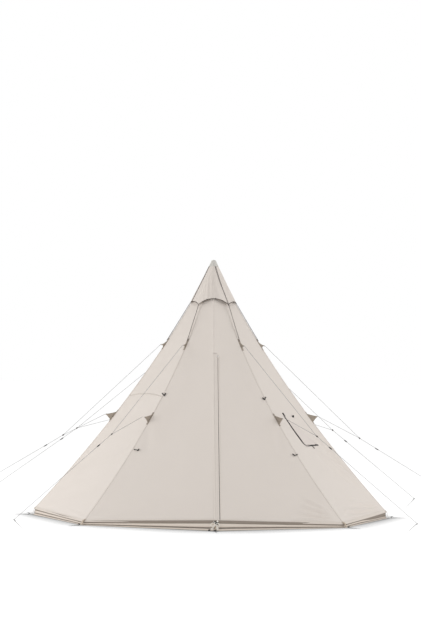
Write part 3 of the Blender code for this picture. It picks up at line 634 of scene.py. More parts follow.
class Bench:
    """Makes objects and applies what shapes them."""

    @staticmethod
    def deselect() -> None:
        """Leave nothing selected."""
        for one in bpy.context.selected_objects:
            one.select_set(False)

    @classmethod
    def activate(cls, piece: Piece) -> None:
        """Select one piece alone and make it active."""
        cls.deselect()
        piece.select_set(True)
        bpy.context.view_layer.objects.active = piece

    @classmethod
    def modify(cls, piece: Piece, kind: str, **values: object) -> None:
        """Add a modifier with these values and apply it."""
        cls.activate(piece)
        modifier = piece.modifiers.new(kind.lower(), kind)
        for label, value in values.items():
            setattr(modifier, label, value)
        bpy.ops.object.modifier_apply(modifier=modifier.name)

    @classmethod
    def subtract(cls, piece: Piece, cutter: Piece) -> None:
        """Cut one object out of a piece and take the cutter away."""
        cls.modify(piece, "BOOLEAN", operation="DIFFERENCE", solver="EXACT", object=cutter)
        bpy.data.objects.remove(cutter)

    @staticmethod
    def linked(name: str, data: bpy.types.ID) -> Piece:
        """An object of this data in the scene."""
        made = bpy.data.objects.new(name, data)
        bpy.context.collection.objects.link(made)
        return made

    @classmethod
    def mesh(
        cls,
        name: str,
        points: Sequence[Vector],
        faces: Sequence[Sequence[int]],
        uv: Sequence[Pair] | None = None,
    ) -> Piece:
        """A mesh object of points and faces, with a UV place for each point."""
        data = bpy.data.meshes.new(name)
        data.from_pydata([tuple(p) for p in points], [], [tuple(f) for f in faces])
        if uv:
            layer = data.uv_layers.new(name="cloth")
            for loop in data.loops:
                layer.data[loop.index].uv = uv[loop.vertex_index]
        data.polygons.foreach_set("use_smooth", [True] * len(data.polygons))
        return cls.linked(name, data)

    @classmethod
    def grid(
        cls,
        name: str,
        rows: Rows,
        thickness: float,
        closed: bool = False,
        centred: bool = False,
    ) -> Piece:
        """A sheet from rows of points that run left to right, seen from outside, and down.

        Args:
            name: of the piece.
            rows: the points.
            thickness: of the cloth, laid on its inner side.
            closed: whether the last column joins the first.
            centred: whether its pattern counts across from the middle of each row.

        Returns:
            The sheet.
        """
        count = len(rows[0])
        uv = []
        down = 0.0
        for k, row in enumerate(rows):
            if k:
                down += sum((a - b).length for a, b in zip(row, rows[k - 1])) / count
            length = sum((b - a).length for a, b in zip(row, row[1:]))
            along = -length / 2 if centred else 0.0
            for j, p in enumerate(row):
                if j:
                    along += (p - row[j - 1]).length
                uv.append((down, along) if centred else (along, down))
        faces = []
        for i in range(len(rows) - 1):
            for j in range(count if closed else count - 1):
                a, b = i * count + j, i * count + (j + 1) % count
                faces.append((a, a + count, b + count, b))
        made = cls.mesh(name, [p for row in rows for p in row], faces, uv)
        cls.modify(made, "SOLIDIFY", thickness=thickness, offset=-1.0)
        return made

    @staticmethod
    def area(rows: Rows) -> float:
        """Area of a grid of points."""
        total = 0.0
        for upper, lower in zip(rows, rows[1:]):
            for a, b, c, d in zip(upper, upper[1:], lower, lower[1:]):
                total += ((b - a).cross(c - a).length + (d - b).cross(d - c).length) / 2
        return total

    @classmethod
    def tube(
        cls,
        name: str,
        points: Sequence[Vector],
        radius: float,
        cyclic: bool = False,
        smooth: bool = False,
        resolution: int = 3,
    ) -> Piece:
        """A curve with a round section through these points."""
        data = bpy.data.curves.new(name, "CURVE")
        data.dimensions = "3D"
        data.bevel_depth = radius
        data.bevel_resolution = resolution
        data.use_fill_caps = not cyclic
        data.resolution_u = 4
        spline = data.splines.new("BEZIER" if smooth else "POLY")
        knots = spline.bezier_points if smooth else spline.points
        knots.add(len(points) - 1)
        for knot, p in zip(knots, points):
            knot.co = p if smooth else (*p, 1)
            if smooth:
                knot.handle_left_type = knot.handle_right_type = "AUTO"
        spline.use_cyclic_u = cyclic
        return cls.linked(name, data)

    @classmethod
    def as_mesh(cls, piece: Piece) -> Piece:
        """A curve turned into a smooth mesh, in place."""
        cls.activate(piece)
        bpy.ops.object.convert(target="MESH")
        made = bpy.context.view_layer.objects.active
        bpy.ops.object.shade_smooth()
        return made

    @classmethod
    def solid(cls, add: Callable[..., set], name: str, **values: object) -> Piece:
        """The primitive that an operator adds with these measures."""
        cls.deselect()
        add(**values)
        made = bpy.context.object
        made.name = made.data.name = name
        return made

    @classmethod
    def block(cls, name: str, size: Triple, bevel: float) -> Piece:
        """A rounded block about the origin, shaped from a cube."""
        made = cls.solid(MESH.primitive_cube_add, name, size=1)
        made.scale = size
        bpy.ops.object.transform_apply(scale=True)
        cls.modify(made, "BEVEL", width=bevel, segments=3, limit_method="NONE")
        bpy.ops.object.shade_smooth_by_angle(angle=math.radians(50))
        return made

    @classmethod
    def faces_where(cls, piece: Piece, test: Callable[[bmesh.types.BMFace], bool]) -> None:
        """Enter edit mode with only the faces that pass a test selected."""
        cls.activate(piece)
        bpy.ops.object.mode_set(mode="EDIT")
        MESH.select_mode(type="FACE")
        MESH.select_all(action="DESELECT")
        for face in bmesh.from_edit_mesh(piece.data).faces:
            face.select_set(test(face))
        bmesh.update_edit_mesh(piece.data)

    @classmethod
    def holed(cls, piece: Piece, x: float, radius: float, depth: float) -> None:
        """Bore a round hole along the piece's Z, at a place along its X."""
        size = {"vertices": 20, "radius": radius, "depth": depth}
        drill = cls.solid(MESH.primitive_cylinder_add, "drill", location=(x, 0, 0), **size)
        cls.subtract(piece, drill)

    @staticmethod
    def turn(forward: Vector, up: Vector, place: Vector) -> Matrix:
        """The placing that brings X to forward, Z near up and the origin to a place."""
        x = forward.normalized()
        y = up.cross(x).normalized()
        return Matrix.Translation(place) @ Matrix((x, y, x.cross(y))).transposed().to_4x4()

    @staticmethod
    def placed(piece: Piece, matrix: Matrix) -> Piece:
        """Put a piece's mesh in its place, with its object still at the origin."""
        piece.data.transform(piece.matrix_basis)
        piece.matrix_basis = Matrix.Identity(4)
        piece.data.transform(matrix)
        piece.data.update()
        return piece


class Pattern:
    """What repeats: modelled once at the origin and copied with its own mesh."""

    models: dict[str, Piece] = {}

    @classmethod
    def copy(cls, pattern: str, name: str, place: Matrix, make: Callable[[], Piece]) -> Piece:
        """A copy of a pattern, put in its place.

        Args:
            pattern: name of the pattern.
            name: of the copy.
            place: its placing.
            make: models the pattern, the first time.

        Returns:
            The copy.
        """
        if pattern not in cls.models:
            cls.models[pattern] = Bench.placed(make(), Matrix.Identity(4))
        made = cls.models[pattern].copy()
        made.data = made.data.copy()
        made.name = made.data.name = name
        bpy.context.collection.objects.link(made)
        return Bench.placed(made, place)

    @classmethod
    def ring(
        cls, name: str, middle: Vector, out: Vector, axis: Vector, radius: float, wire: float
    ) -> Piece:
        """A round ring about an axis, with its seam towards out."""

        def make() -> Piece:
            """Model the ring."""
            made = Bench.solid(
                MESH.primitive_torus_add, "ring",
                major_radius=radius, minor_radius=wire, major_segments=32, minor_segments=12,
            )
            bpy.ops.object.shade_smooth()
            return made

        return cls.copy(f"ring {radius} {wire}", name, Bench.turn(out, axis, middle), make)

    @classmethod
    def clear(cls) -> None:
        """Take the models away once all is copied."""
        for model in cls.models.values():
            bpy.data.meshes.remove(model.data)
        cls.models.clear()


def dress(
    piece: Piece,
    finish: Finish,
    body: str | None = "tent",
    stands_for: Sequence[str] = (),
) -> Piece:
    """Give a piece its finish and its body.

    Args:
        piece: the piece.
        finish: its finish.
        body: the body that it moves with, none for a sheet between two bodies.
        stands_for: CAD nodes that it replaces.

    Returns:
        The piece.
    """
    piece.data.materials.clear()
    piece.data.materials.append(finish.material())
    if body:
        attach(piece, body)
    if stands_for:
        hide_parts(*stands_for)
    LOG.info("%s on %s", piece.name, body)
    return piece


def fitting(name: str, size: Triple, bevel: float, place: Matrix, finish: Finish) -> Piece:
    """A rounded block, put in its place on the tent and dressed."""
    return dress(Bench.placed(Bench.block(name, size, bevel), place), finish)


def cloth(
    piece: Piece,
    rows: Rows,
    flat: Pair,
    held: Hold = Hold.STRETCHED,
    **more: object,
) -> None:
    """Work out the area of a sheet's rows; the piece itself is left as it is."""
    Bench.area(rows)


def bend(
    piece: Piece, body: str, first: Vector, last: Vector, towards: Vector, reach: float
) -> None:
    """Bake a piece's placing into its mesh; the fold is worked out but no bend is set up.

    Args:
        piece: the sheet.
        body: the body that its far side would move with; not used.
        first: one end of the fold.
        last: the other end.
        towards: a place on the far side.
        reach: how far past the fold the bend would go; not used.
    """
    middle = first.lerp(last, 0.5)
    line = (last - first).normalized()
    inward = towards - middle
    inward = (inward - line * inward.dot(line)).normalized()
    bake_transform(piece)


# ---------------------------------------------------------------- camera and light


@dataclass(frozen=True)
class Studio:
    """Camera, floor and lamps.

    Args:
        distance: from the camera to the pole, along the ground.
        eye_z: height of the camera.
        azimuth: of the camera round the tent, in degrees from the door.
        roll: how far the camera leans clockwise, in degrees.
        focal_px: focal length in pixels of the 631 px long side.
        aside: how far the camera stands to the left of its line, in metres.
        surroundings: strength of the white light from all round.
        floor_half: half the floor's side, in metres.
        glow: share of plain white that the camera sees in the floor.
        shadow_reach: of the soft shadow at the tent's middle, in metres.
        shadow_fall: how much less it reaches for each metre aside.
        shadow_least: its least reach.
        shadow_power: how steeply it darkens.
        lamps: name, place, size and power of each square softbox.
    """

    distance: float = 30.7
    eye_z: float = 2.37
    azimuth: float = -1.5
    roll: float = 0.70
    focal_px: float = 2600.0
    aside: float = 0.030
    long_side_px: float = 631.0
    sensor: float = 36.0
    surroundings: float = 0.64
    floor_half: float = 60.0
    glow: float = 0.83
    shadow_reach: float = 0.92
    shadow_fall: float = 0.27
    shadow_least: float = 0.30
    shadow_power: float = 4.9
    lamps: tuple[tuple[str, Triple, float, float], ...] = (
        ("left softbox", (-7.5, -0.8, 2.2), 4.0, 165),
        ("right softbox", (9.0, -1.5, 4.0), 5.0, 250),
        ("front softbox", (-5.0, -14.0, 5.5), 6.0, 325),
        ("rear softbox", (0.0, 9.0, 6.0), 5.0, 150),
    )

    def camera(self) -> None:
        """Set the camera where the photograph was taken from."""
        data = bpy.data.cameras.new("camera")
        data.sensor_width = self.sensor
        data.lens = self.focal_px * self.sensor / self.long_side_px
        data.clip_end = 200
        made = Bench.linked("camera", data)
        a = math.radians(self.azimuth)
        back = Vector((math.sin(a), -math.cos(a), 0))
        right = Vector((math.cos(a), math.sin(a), 0))
        made.location = back * self.distance - right * self.aside + UP * self.eye_z
        turn = (-back).to_track_quat("-Z", "Y").to_matrix().to_4x4()
        lean = Matrix.Rotation(math.radians(self.roll), 4, "Z")
        made.matrix_world = Matrix.Translation(made.location) @ turn @ lean
        bpy.context.scene.camera = made

    @staticmethod
    def lamp(name: str, place: Triple, size: float, power: float) -> None:
        """A square softbox that faces the middle of the tent."""
        data = bpy.data.lights.new(name, "AREA")
        data.shape = "SQUARE"
        data.size = size
        data.energy = power
        made = Bench.linked(name, data)
        made.location = place
        made.rotation_mode = "QUATERNION"
        made.rotation_quaternion = (UP - Vector(place)).to_track_quat("-Z", "Y")

    def world(self) -> None:
        """White surroundings that show white and light the tent at a plain level."""
        world = bpy.data.worlds.new("studio")
        bpy.context.scene.world = world
        world.use_nodes = True
        tree = world.node_tree
        soft = tree.nodes["Background"]
        soft.inputs["Color"].default_value = (1, 1, 1, 1)
        soft.inputs["Strength"].default_value = self.surroundings
        white = Nodes.add(tree, "Background", Color=(1, 1, 1, 1))
        rays = tree.nodes.new("ShaderNodeLightPath").outputs
        through = Nodes.math(tree, "MAXIMUM", rays["Is Glossy Ray"], rays["Is Transmission Ray"])
        seen = Nodes.math(tree, "MAXIMUM", rays["Is Camera Ray"], through)
        mix = tree.nodes.new("ShaderNodeMixShader")
        for socket, value in zip(mix.inputs, (seen, soft.outputs[0], white.outputs[0])):
            tree.links.new(value, socket)
        tree.links.new(mix.outputs[0], tree.nodes["World Output"].inputs["Surface"])

    def floor(self) -> None:
        """A pale floor that keeps a soft shadow, narrower towards the tent's sides."""
        made = Bench.solid(MESH.primitive_plane_add, "studio_floor", size=2 * self.floor_half)
        made.location.z = -0.002
        material = bpy.data.materials.new("pale floor")
        material.use_nodes = True
        tree = material.node_tree
        shader = tree.nodes["Principled BSDF"]
        shader.inputs["Roughness"].default_value = 0.95
        shader.inputs["Specular IOR Level"].default_value = 0.0
        seen = tree.nodes.new("ShaderNodeLightPath").outputs["Is Camera Ray"]
        tone = Nodes.mix(tree, seen, (0.86, 0.86, 0.86), (0.30, 0.30, 0.30))
        tree.links.new(tone, shader.inputs["Base Color"])
        place = tree.nodes.new("ShaderNodeNewGeometry").outputs["Position"]
        split = Nodes.add(tree, "SeparateXYZ", Vector=place)
        aside = Nodes.math(tree, "ABSOLUTE", split.outputs["X"])
        less = Nodes.math(tree, "MULTIPLY", aside, -self.shadow_fall)
        reach = Nodes.math(tree, "ADD", less, self.shadow_reach)
        reach = Nodes.math(tree, "MAXIMUM", reach, self.shadow_least)
        near = Nodes.add(tree, "AmbientOcclusion", Distance=reach)
        shade = Nodes.math(tree, "POWER", near.outputs["AO"], self.shadow_power)
        held = Nodes.math(tree, "MULTIPLY", Nodes.math(tree, "MULTIPLY", seen, self.glow), shade)
        white = Nodes.add(tree, "Emission", Strength=held)
        add = tree.nodes.new("ShaderNodeAddShader")
        tree.links.new(shader.outputs[0], add.inputs[0])
        tree.links.new(white.outputs[0], add.inputs[1])
        tree.links.new(add.outputs[0], tree.nodes["Material Output"].inputs["Surface"])
        made.data.materials.append(material)

    def build(self) -> None:
        """Set the camera, the floor, the lamps and the plain view transform."""
        bpy.context.scene.view_settings.view_transform = "Standard"
        self.camera()
        self.world()
        self.floor()
        for lamp in self.lamps:
            self.lamp(*lamp)


# ---------------------------------------------------------------- ropes


@dataclass(frozen=True)
class GuyRope:
    """A guy rope: from the upper tab to a knot and on to its peg, with a lower branch.

    Args:
        azimuth: of its ridge.
        upper: where it leaves the upper tab.
        lower: where its branch leaves the lower tab.
        knot: where both meet.
        end: where it reaches its peg.
        hook: middle of the peg's hook.
        slider_at: distance of the slider below the knot.
        peg_lean: slope of the peg, in degrees.
    """

    azimuth: int
    upper: Triple
    lower: Triple
    knot: Triple
    end: Triple
    hook: Triple
    diameter: float = 0.004
    slider_at: float = 0.24
    peg_lean: float = 38.0

    @property
    def name(self) -> str:
        """The ridge's name."""
        return RIDGES[self.azimuth]

    @staticmethod
    def line(first: Vector, last: Vector, count: int, sag: float = 0.0) -> list[Vector]:
        """Points along a taut line that hangs a little in the middle."""
        return [first.lerp(last, t) - UP * sag * 4 * t * (1 - t) for t in steps(count)]

    def rope(self, part: str, points: Sequence[Vector], length: float, far_end: str) -> None:
        """One run of the rope, through these points."""
        made = Bench.tube(f"guy_rope_{part}_{self.name}", points, self.diameter / 2)
        dress(made, WHITE_CORD, stands_for=[f"guy_rope_{self.name}"])

    def build(self) -> None:
        """Make the main rope, its branch, the knot, the slider and the peg with its loop."""
        upper, lower, knot, end, hook = (
            Vector(p) for p in (self.upper, self.lower, self.knot, self.end, self.hook)
        )
        main = self.line(upper, knot, 9) + self.line(knot, end, 14)[1:]
        length = sum((b - a).length for a, b in zip(main, main[1:]))
        self.rope("main", main, length, "object")
        run = (end - knot).normalized()
        side = Vector((-run.y, run.x, 0)).normalized()
        meets = knot + side * self.diameter * 1.05
        self.rope("branch", self.line(lower, meets, 16), (meets - lower).length, "knot")
        place = Bench.turn(run, run.cross(side), knot)
        dress(Pattern.copy("knot", f"guy_knot_{self.name}", place, self.winding), DARK_ELASTIC)
        self.slider(knot + run * self.slider_at, run, side)
        self.peg(hook, side)

    @staticmethod
    def winding(turns: int = 4, steps: int = 10) -> Piece:
        """The turns of a knot about X."""
        points = []
        for k in range(turns * steps + 1):
            a = math.tau * k / steps
            along = (k / (turns * steps) - 0.5) * 0.018
            points.append(Vector((along, 0.002 + 0.0062 * math.cos(a), 0.0062 * math.sin(a))))
        return Bench.as_mesh(Bench.tube("winding", points, 0.0022, resolution=2))

    @staticmethod
    def runner() -> Piece:
        """A flat runner along X, bored for the rope at both ends."""
        body = Bench.block("runner", (0.046, 0.019, 0.0065), 0.0026)
        for x in (-0.014, 0.0, 0.014):
            Bench.holed(body, x, 0.0034 if x else 0.0024, 0.02)
        return body

    @staticmethod
    def bight() -> Piece:
        """The rope's own bight over the runner, along X."""
        points = [
            Vector(((t - 0.5) * 0.052, 0, 0.0052 * math.sin(math.pi * t) ** 0.5 + 0.001))
            for t in steps(12)
        ]
        return Bench.as_mesh(Bench.tube("bight", points, 0.0019, resolution=2))

    def slider(self, middle: Vector, run: Vector, side: Vector) -> None:
        """The runner on the tail and the bight over it."""
        place = Bench.turn(run, side.cross(run).normalized(), middle)
        node = f"guy_slider_{self.name}"
        body = Pattern.copy("runner", f"guy_runner_{self.name}", place, self.runner)
        dress(body, BLACK_PLASTIC, node, [node])
        over = Pattern.copy("bight", f"guy_bight_{self.name}", place, self.bight)
        dress(over, WHITE_CORD, node)

    def peg(self, hook: Vector, side: Vector) -> None:
        """The steel peg on its tip, with the rope's loop round its hook."""
        lean = math.radians(self.peg_lean)
        level = side.cross(UP) if side.cross(UP).dot(hook) > 0 else -side.cross(UP)
        shank = -level * math.cos(lean) - UP * math.sin(lean)
        Peg.make(f"guy_stake_{self.name}", hook, shank, side, f"guy_peg_{self.name}")
        middle = hook - shank * Peg.hook_r
        loop = Pattern.ring(f"guy_loop_{self.name}", middle, UP, UP.cross(side), 0.0052, 0.0019)
        dress(loop, WHITE_CORD)


class Peg:
    """Bent steel pegs."""

    radius = 0.0025
    length = 0.17
    hook_r = 0.0085
    taper = 0.018

    @classmethod
    def model(cls) -> Piece:
        """A peg with its hook at the origin and its shank along X, tapered to its tip."""
        path = [Vector((cls.length, 0, -cls.hook_r)), Vector((0.02, 0, -cls.hook_r))]
        for k in range(11):
            a = math.radians(-90 - 18 * k)
            path.append(Vector((math.cos(a), 0, math.sin(a))) * cls.hook_r)
        path.append(Vector((cls.hook_r * 1.4, 0, cls.hook_r)))
        peg = Bench.as_mesh(Bench.tube("peg", path, cls.radius))
        for vertex in peg.data.vertices:
            near_tip = (vertex.co.x - (cls.length - cls.taper)) / cls.taper
            if near_tip > 0:
                thin = 1 - 0.75 * near_tip
                vertex.co.y *= thin
                vertex.co.z = (vertex.co.z + cls.hook_r) * thin - cls.hook_r
        return peg

    @classmethod
    def make(cls, name: str, middle: Vector, along: Vector, up: Vector, node: str) -> None:
        """A peg with its hook at middle, its shank along one way and its hook's plane up.

        Args:
            name: of the piece.
            middle: of the hook's round.
            along: the way its shank points.
            up: the side that the hook opens to.
            node: the CAD node that it stands for.
        """
        peg = Pattern.copy("peg", name, Bench.turn(along, up, middle), cls.model)
        dress(peg, PEG_STEEL, stands_for=[node])


GUY_ROPES = (
    GuyRope(-135, (-0.3804, 0.3834, 2.0199), (-0.8294, 0.8323, 1.1970), (-1.6113, 0.8828, 0.985),
            (-2.8083, 1.3694, 0.1137), (-2.8042, 1.3677, 0.1069)),
    GuyRope(-90, (-0.6133, -0.0012, 2.0215), (-1.2525, -0.0012, 1.1949), (-1.7514, -0.0006, 0.94),
            (-3.1243, 0.0, 0.1136), (-3.12, 0.0, 0.1069)),
    GuyRope(-45, (-0.3611, -0.3639, 2.0193), (-0.8185, -0.8010, 1.1971), (-1.1665, -1.1680, 1.01),
            (-2.2092, -2.2092, 0.1136), (-2.2062, -2.2062, 0.1069)),
    GuyRope(45, (0.3611, -0.3639, 2.0193), (0.8185, -0.8010, 1.1971), (1.1665, -1.1680, 1.01),
            (2.2092, -2.2092, 0.1136), (2.2062, -2.2062, 0.1069)),
    GuyRope(90, (0.6133, -0.0012, 2.0215), (1.2525, -0.0012, 1.1949), (1.7514, -0.0006, 0.94),
            (3.1243, 0.0, 0.1136), (3.12, 0.0, 0.1069)),
    GuyRope(135, (0.3804, 0.3834, 2.0199), (0.8293, 0.8323, 1.1969), (1.5109, 1.0806, 0.985),
            (2.5903, 1.7470, 0.1138), (2.5866, 1.7447, 0.1069)),
)


# ---------------------------------------------------------------- canopy


RIGHT_FOLDS = (
    Fold((0.62, 0.82), (0.94, 0.32), 0.034, 0.022),
    Fold((0.78, 0.80), (0.97, 0.48), 0.030, -0.020),
    Fold((0.74, 0.97), (0.96, 0.62), 0.030, 0.019),
    Fold((0.80, 1.06), (0.97, 0.78), 0.030, -0.015),
    Fold((0.50, 0.78), (0.78, 0.40), 0.040, -0.016),
    Fold((0.04, 0.105), (0.30, 0.20), 0.022, 0.010),
    Fold((0.03, 0.14), (0.22, 0.30), 0.022, -0.009),
    Fold((0.990, 0.082), (0.10, 0.100), 0.018, 0.024),
    Fold((0.990, 0.105), (0.20, 0.170), 0.018, 0.026),
    Fold((0.985, 0.132), (0.45, 0.245), 0.020, 0.018),
)
FRONT_RIGHT_FOLDS = (
    Fold((0.975, 0.070), (0.60, 0.100), 0.018, 0.026),
    Fold((0.975, 0.096), (0.68, 0.170), 0.018, 0.026),
    Fold((0.975, 0.125), (0.74, 0.245), 0.019, 0.025),
    Fold((0.970, 0.158), (0.80, 0.320), 0.021, 0.020),
    Fold((0.96, 1.10), (0.80, 0.80), 0.050, -0.006),
)
FRONT_LEFT_FOLDS = (
    Fold((0.03, 1.10), (0.20, 0.80), 0.050, -0.006),
    Fold((0.03, 0.080), (0.26, 0.115), 0.016, 0.007),
    Fold((0.03, 0.105), (0.20, 0.185), 0.016, -0.006),
)
LEFT_FOLDS = (
    Fold((0.95, 1.10), (0.80, 0.70), 0.050, 0.006),
    Fold((0.97, 0.085), (0.55, 0.120), 0.016, 0.007),
    Fold((0.05, 0.090), (0.40, 0.125), 0.016, -0.006),
)
PANELS = {
    -45: Panel(-45, 0, 0.016, FRONT_LEFT_FOLDS),
    0: Panel(0, 45, 0.016, FRONT_RIGHT_FOLDS),
    45: Panel(45, 90, 0.012, RIGHT_FOLDS),
    90: Panel(90, 135),
    135: Panel(135, 180),
    180: Panel(180, -135),
    -135: Panel(-135, -90),
    -90: Panel(-90, -45, 0.016, LEFT_FOLDS),
}


def beside(azimuth: int, z: float, away: float, height: float = 0.0) -> Vector:
    """A place on the canvas beside a ridge.

    Args:
        azimuth: of the ridge.
        z: height above the ground.
        away: distance from the ridge, positive to the right seen from outside.
        height: above the cloth.

    Returns:
        The place.
    """
    right = PANELS[azimuth]
    left = next(panel for panel in PANELS.values() if panel.second == azimuth)
    if abs(away) < 1e-6:
        down = right.share_down(0.0, z)
        out = (right.normal(down) + left.normal(down)).normalized()
        return right.at(0.0, z) + out * height
    if away > 0:
        return right.at(away / right.width_at(0.0, z), z, height)
    return left.at(1 + away / left.width_at(1.0, z), z, height)


@dataclass
class Canopy:
    """The canvas: one sheet round the back, and a half front on each side of the door.

    Args:
        columns: cells across a panel.
        rows: cells down a panel.
        crowd: how much closer the lowest rows lie.
        cloth: thickness of the canvas.
        fold_top: distance from the pole to the door folds' upper end.
        hem_lines: height up the cloth and height above it, for each row of the hem.
    """

    columns: int = 48
    rows: int = 130
    crowd: float = 0.12
    cloth: float = 0.0014
    fold_top: float = 0.5735
    hem_lines: tuple[Pair, ...] = (
        (0.027, 0.0002), (0.026, 0.0018), (0.001, 0.0018), (-0.001, 0.0002)
    )

    def downs(self) -> list[float]:
        """Shares down of the rows, which lie closer near the hem."""
        return [(1 + self.crowd) * t - self.crowd * t**6.2 for t in steps(self.rows)]

    @staticmethod
    def panels() -> list[Panel]:
        """The panels of the main sheet, from the right round the back to the left."""
        return [PANELS[azimuth] for azimuth in (45, 90, 135, 180, -135, -90)]

    def shell(self) -> None:
        """The main sheet, with the window cut out of its right front panel."""
        panels = self.panels()
        rows = []
        for down in self.downs():
            row = [panel.point(u, down) for panel in panels for u in steps(self.columns)[:-1]]
            rows.append([*row, panels[-1].point(1.0, down)])
        made = Bench.grid("canopy", rows, self.cloth)
        window = Window(PANELS[45])
        window.cut(made)
        walls = ("right_front", "right_rear", "rear_right", "rear_left", "left_rear", "left_front")
        dress(made, CANVAS, stands_for=[f"wall_{wall}" for wall in walls])
        cloth(made, rows, (9.55, 3.25), rests_on=["pole_tip"])
        window.build()

    def half_front(self, name: str, panel: Panel, door: str, wall: str) -> None:
        """Half of the front, which follows the tent beyond its fold and the door within."""
        rows = [[panel.point(u, down) for u in steps(self.columns)] for down in self.downs()]
        side = 1 if panel.first == 0 else -1
        middle = 0 if side > 0 else self.columns
        for row in rows:
            z = row[middle].z
            if z < FORM.zip_top_z - 0.02:
                away = DoorLine.coil_edge if side > 0 else DoorLine.left_edge
                row[middle] = DoorLine.face(side, z, away, 0.0)
        made = Bench.grid(name, rows, self.cloth)
        dress(made, CANVAS, None, [door, wall])
        cloth(made, rows, (1.62, 3.2), rests_on=["pole_tip"])
        self.fold(made, side)

    def hem(self, name: str, panels: Sequence[Panel], span: Pair = (0, 1)) -> None:
        """The doubled hem along the lower edge of some panels.

        Args:
            name: of the piece.
            panels: from left to right.
            span: shares of the run across that it covers.
        """
        shares = steps(self.columns, *span)
        places = [(panel, u) for panel in panels for u in shares[:-1]]
        places.append((panels[-1], shares[-1]))
        rows = [
            [panel.point(u, 1 - up / FORM.collar_z, height) for panel, u in places]
            for up, height in self.hem_lines
        ]
        made = Bench.grid(name, rows, 0.0008)
        if len(panels) > 1:
            dress(made, CANVAS_HEM)
            return
        dress(made, CANVAS_HEM, None)
        self.fold(made, 1 if panels[0].first == 0 else -1)

    def fold(self, piece: Piece, side: int) -> None:
        """Bake a piece's placing; the door's fold is worked out for it, but no bend is made."""
        corner, foot = (FORM.polar(FORM.corner_r, a, FORM.floor_hem_z) for a in (45 * side, 0))
        top = Vector((0, -self.fold_top, FORM.zip_top_z))
        bend(piece, "door_right" if side > 0 else "door_left", corner, top, foot, 0.05)

    def build(self) -> None:
        """Make the whole canopy."""
        self.shell()
        self.half_front("front_cloth_left", PANELS[-45], "door_left", "wall_front_left")
        self.half_front("front_cloth_right", PANELS[0], "door_right", "wall_front_right")
        self.hem("hem_main", self.panels())
        self.hem("hem_front_left", [PANELS[-45]], (0, 0.999))
        self.hem("hem_front_right", [PANELS[0]], (0.0348, 1))


class DoorLine:
    """The door's edge: the front ridge below the zip's top, and places beside it."""

    coil_edge = 0.055
    left_edge = 0.0012

    @classmethod
    def face(cls, side: int, z: float, away: float, height: float) -> Vector:
        """A place beside the front ridge: on one side, at a height above the ground.

        Args:
            side: 1 for the right, -1 for the left.
            z: height above the ground of the ridge point that it is level with.
            away: distance from the ridge.
            height: above the cloth.

        Returns:
            The place.
        """
        start = FORM.ridge(0, z)
        across = (FORM.ridge(45 * side, z) - start).normalized()
        along = (FORM.ridge(0, z - 0.01) - FORM.ridge(0, z + 0.01)).normalized()
        out = along.cross(across) * side
        return start + across * away + out.normalized() * height


# ---------------------------------------------------------------- window


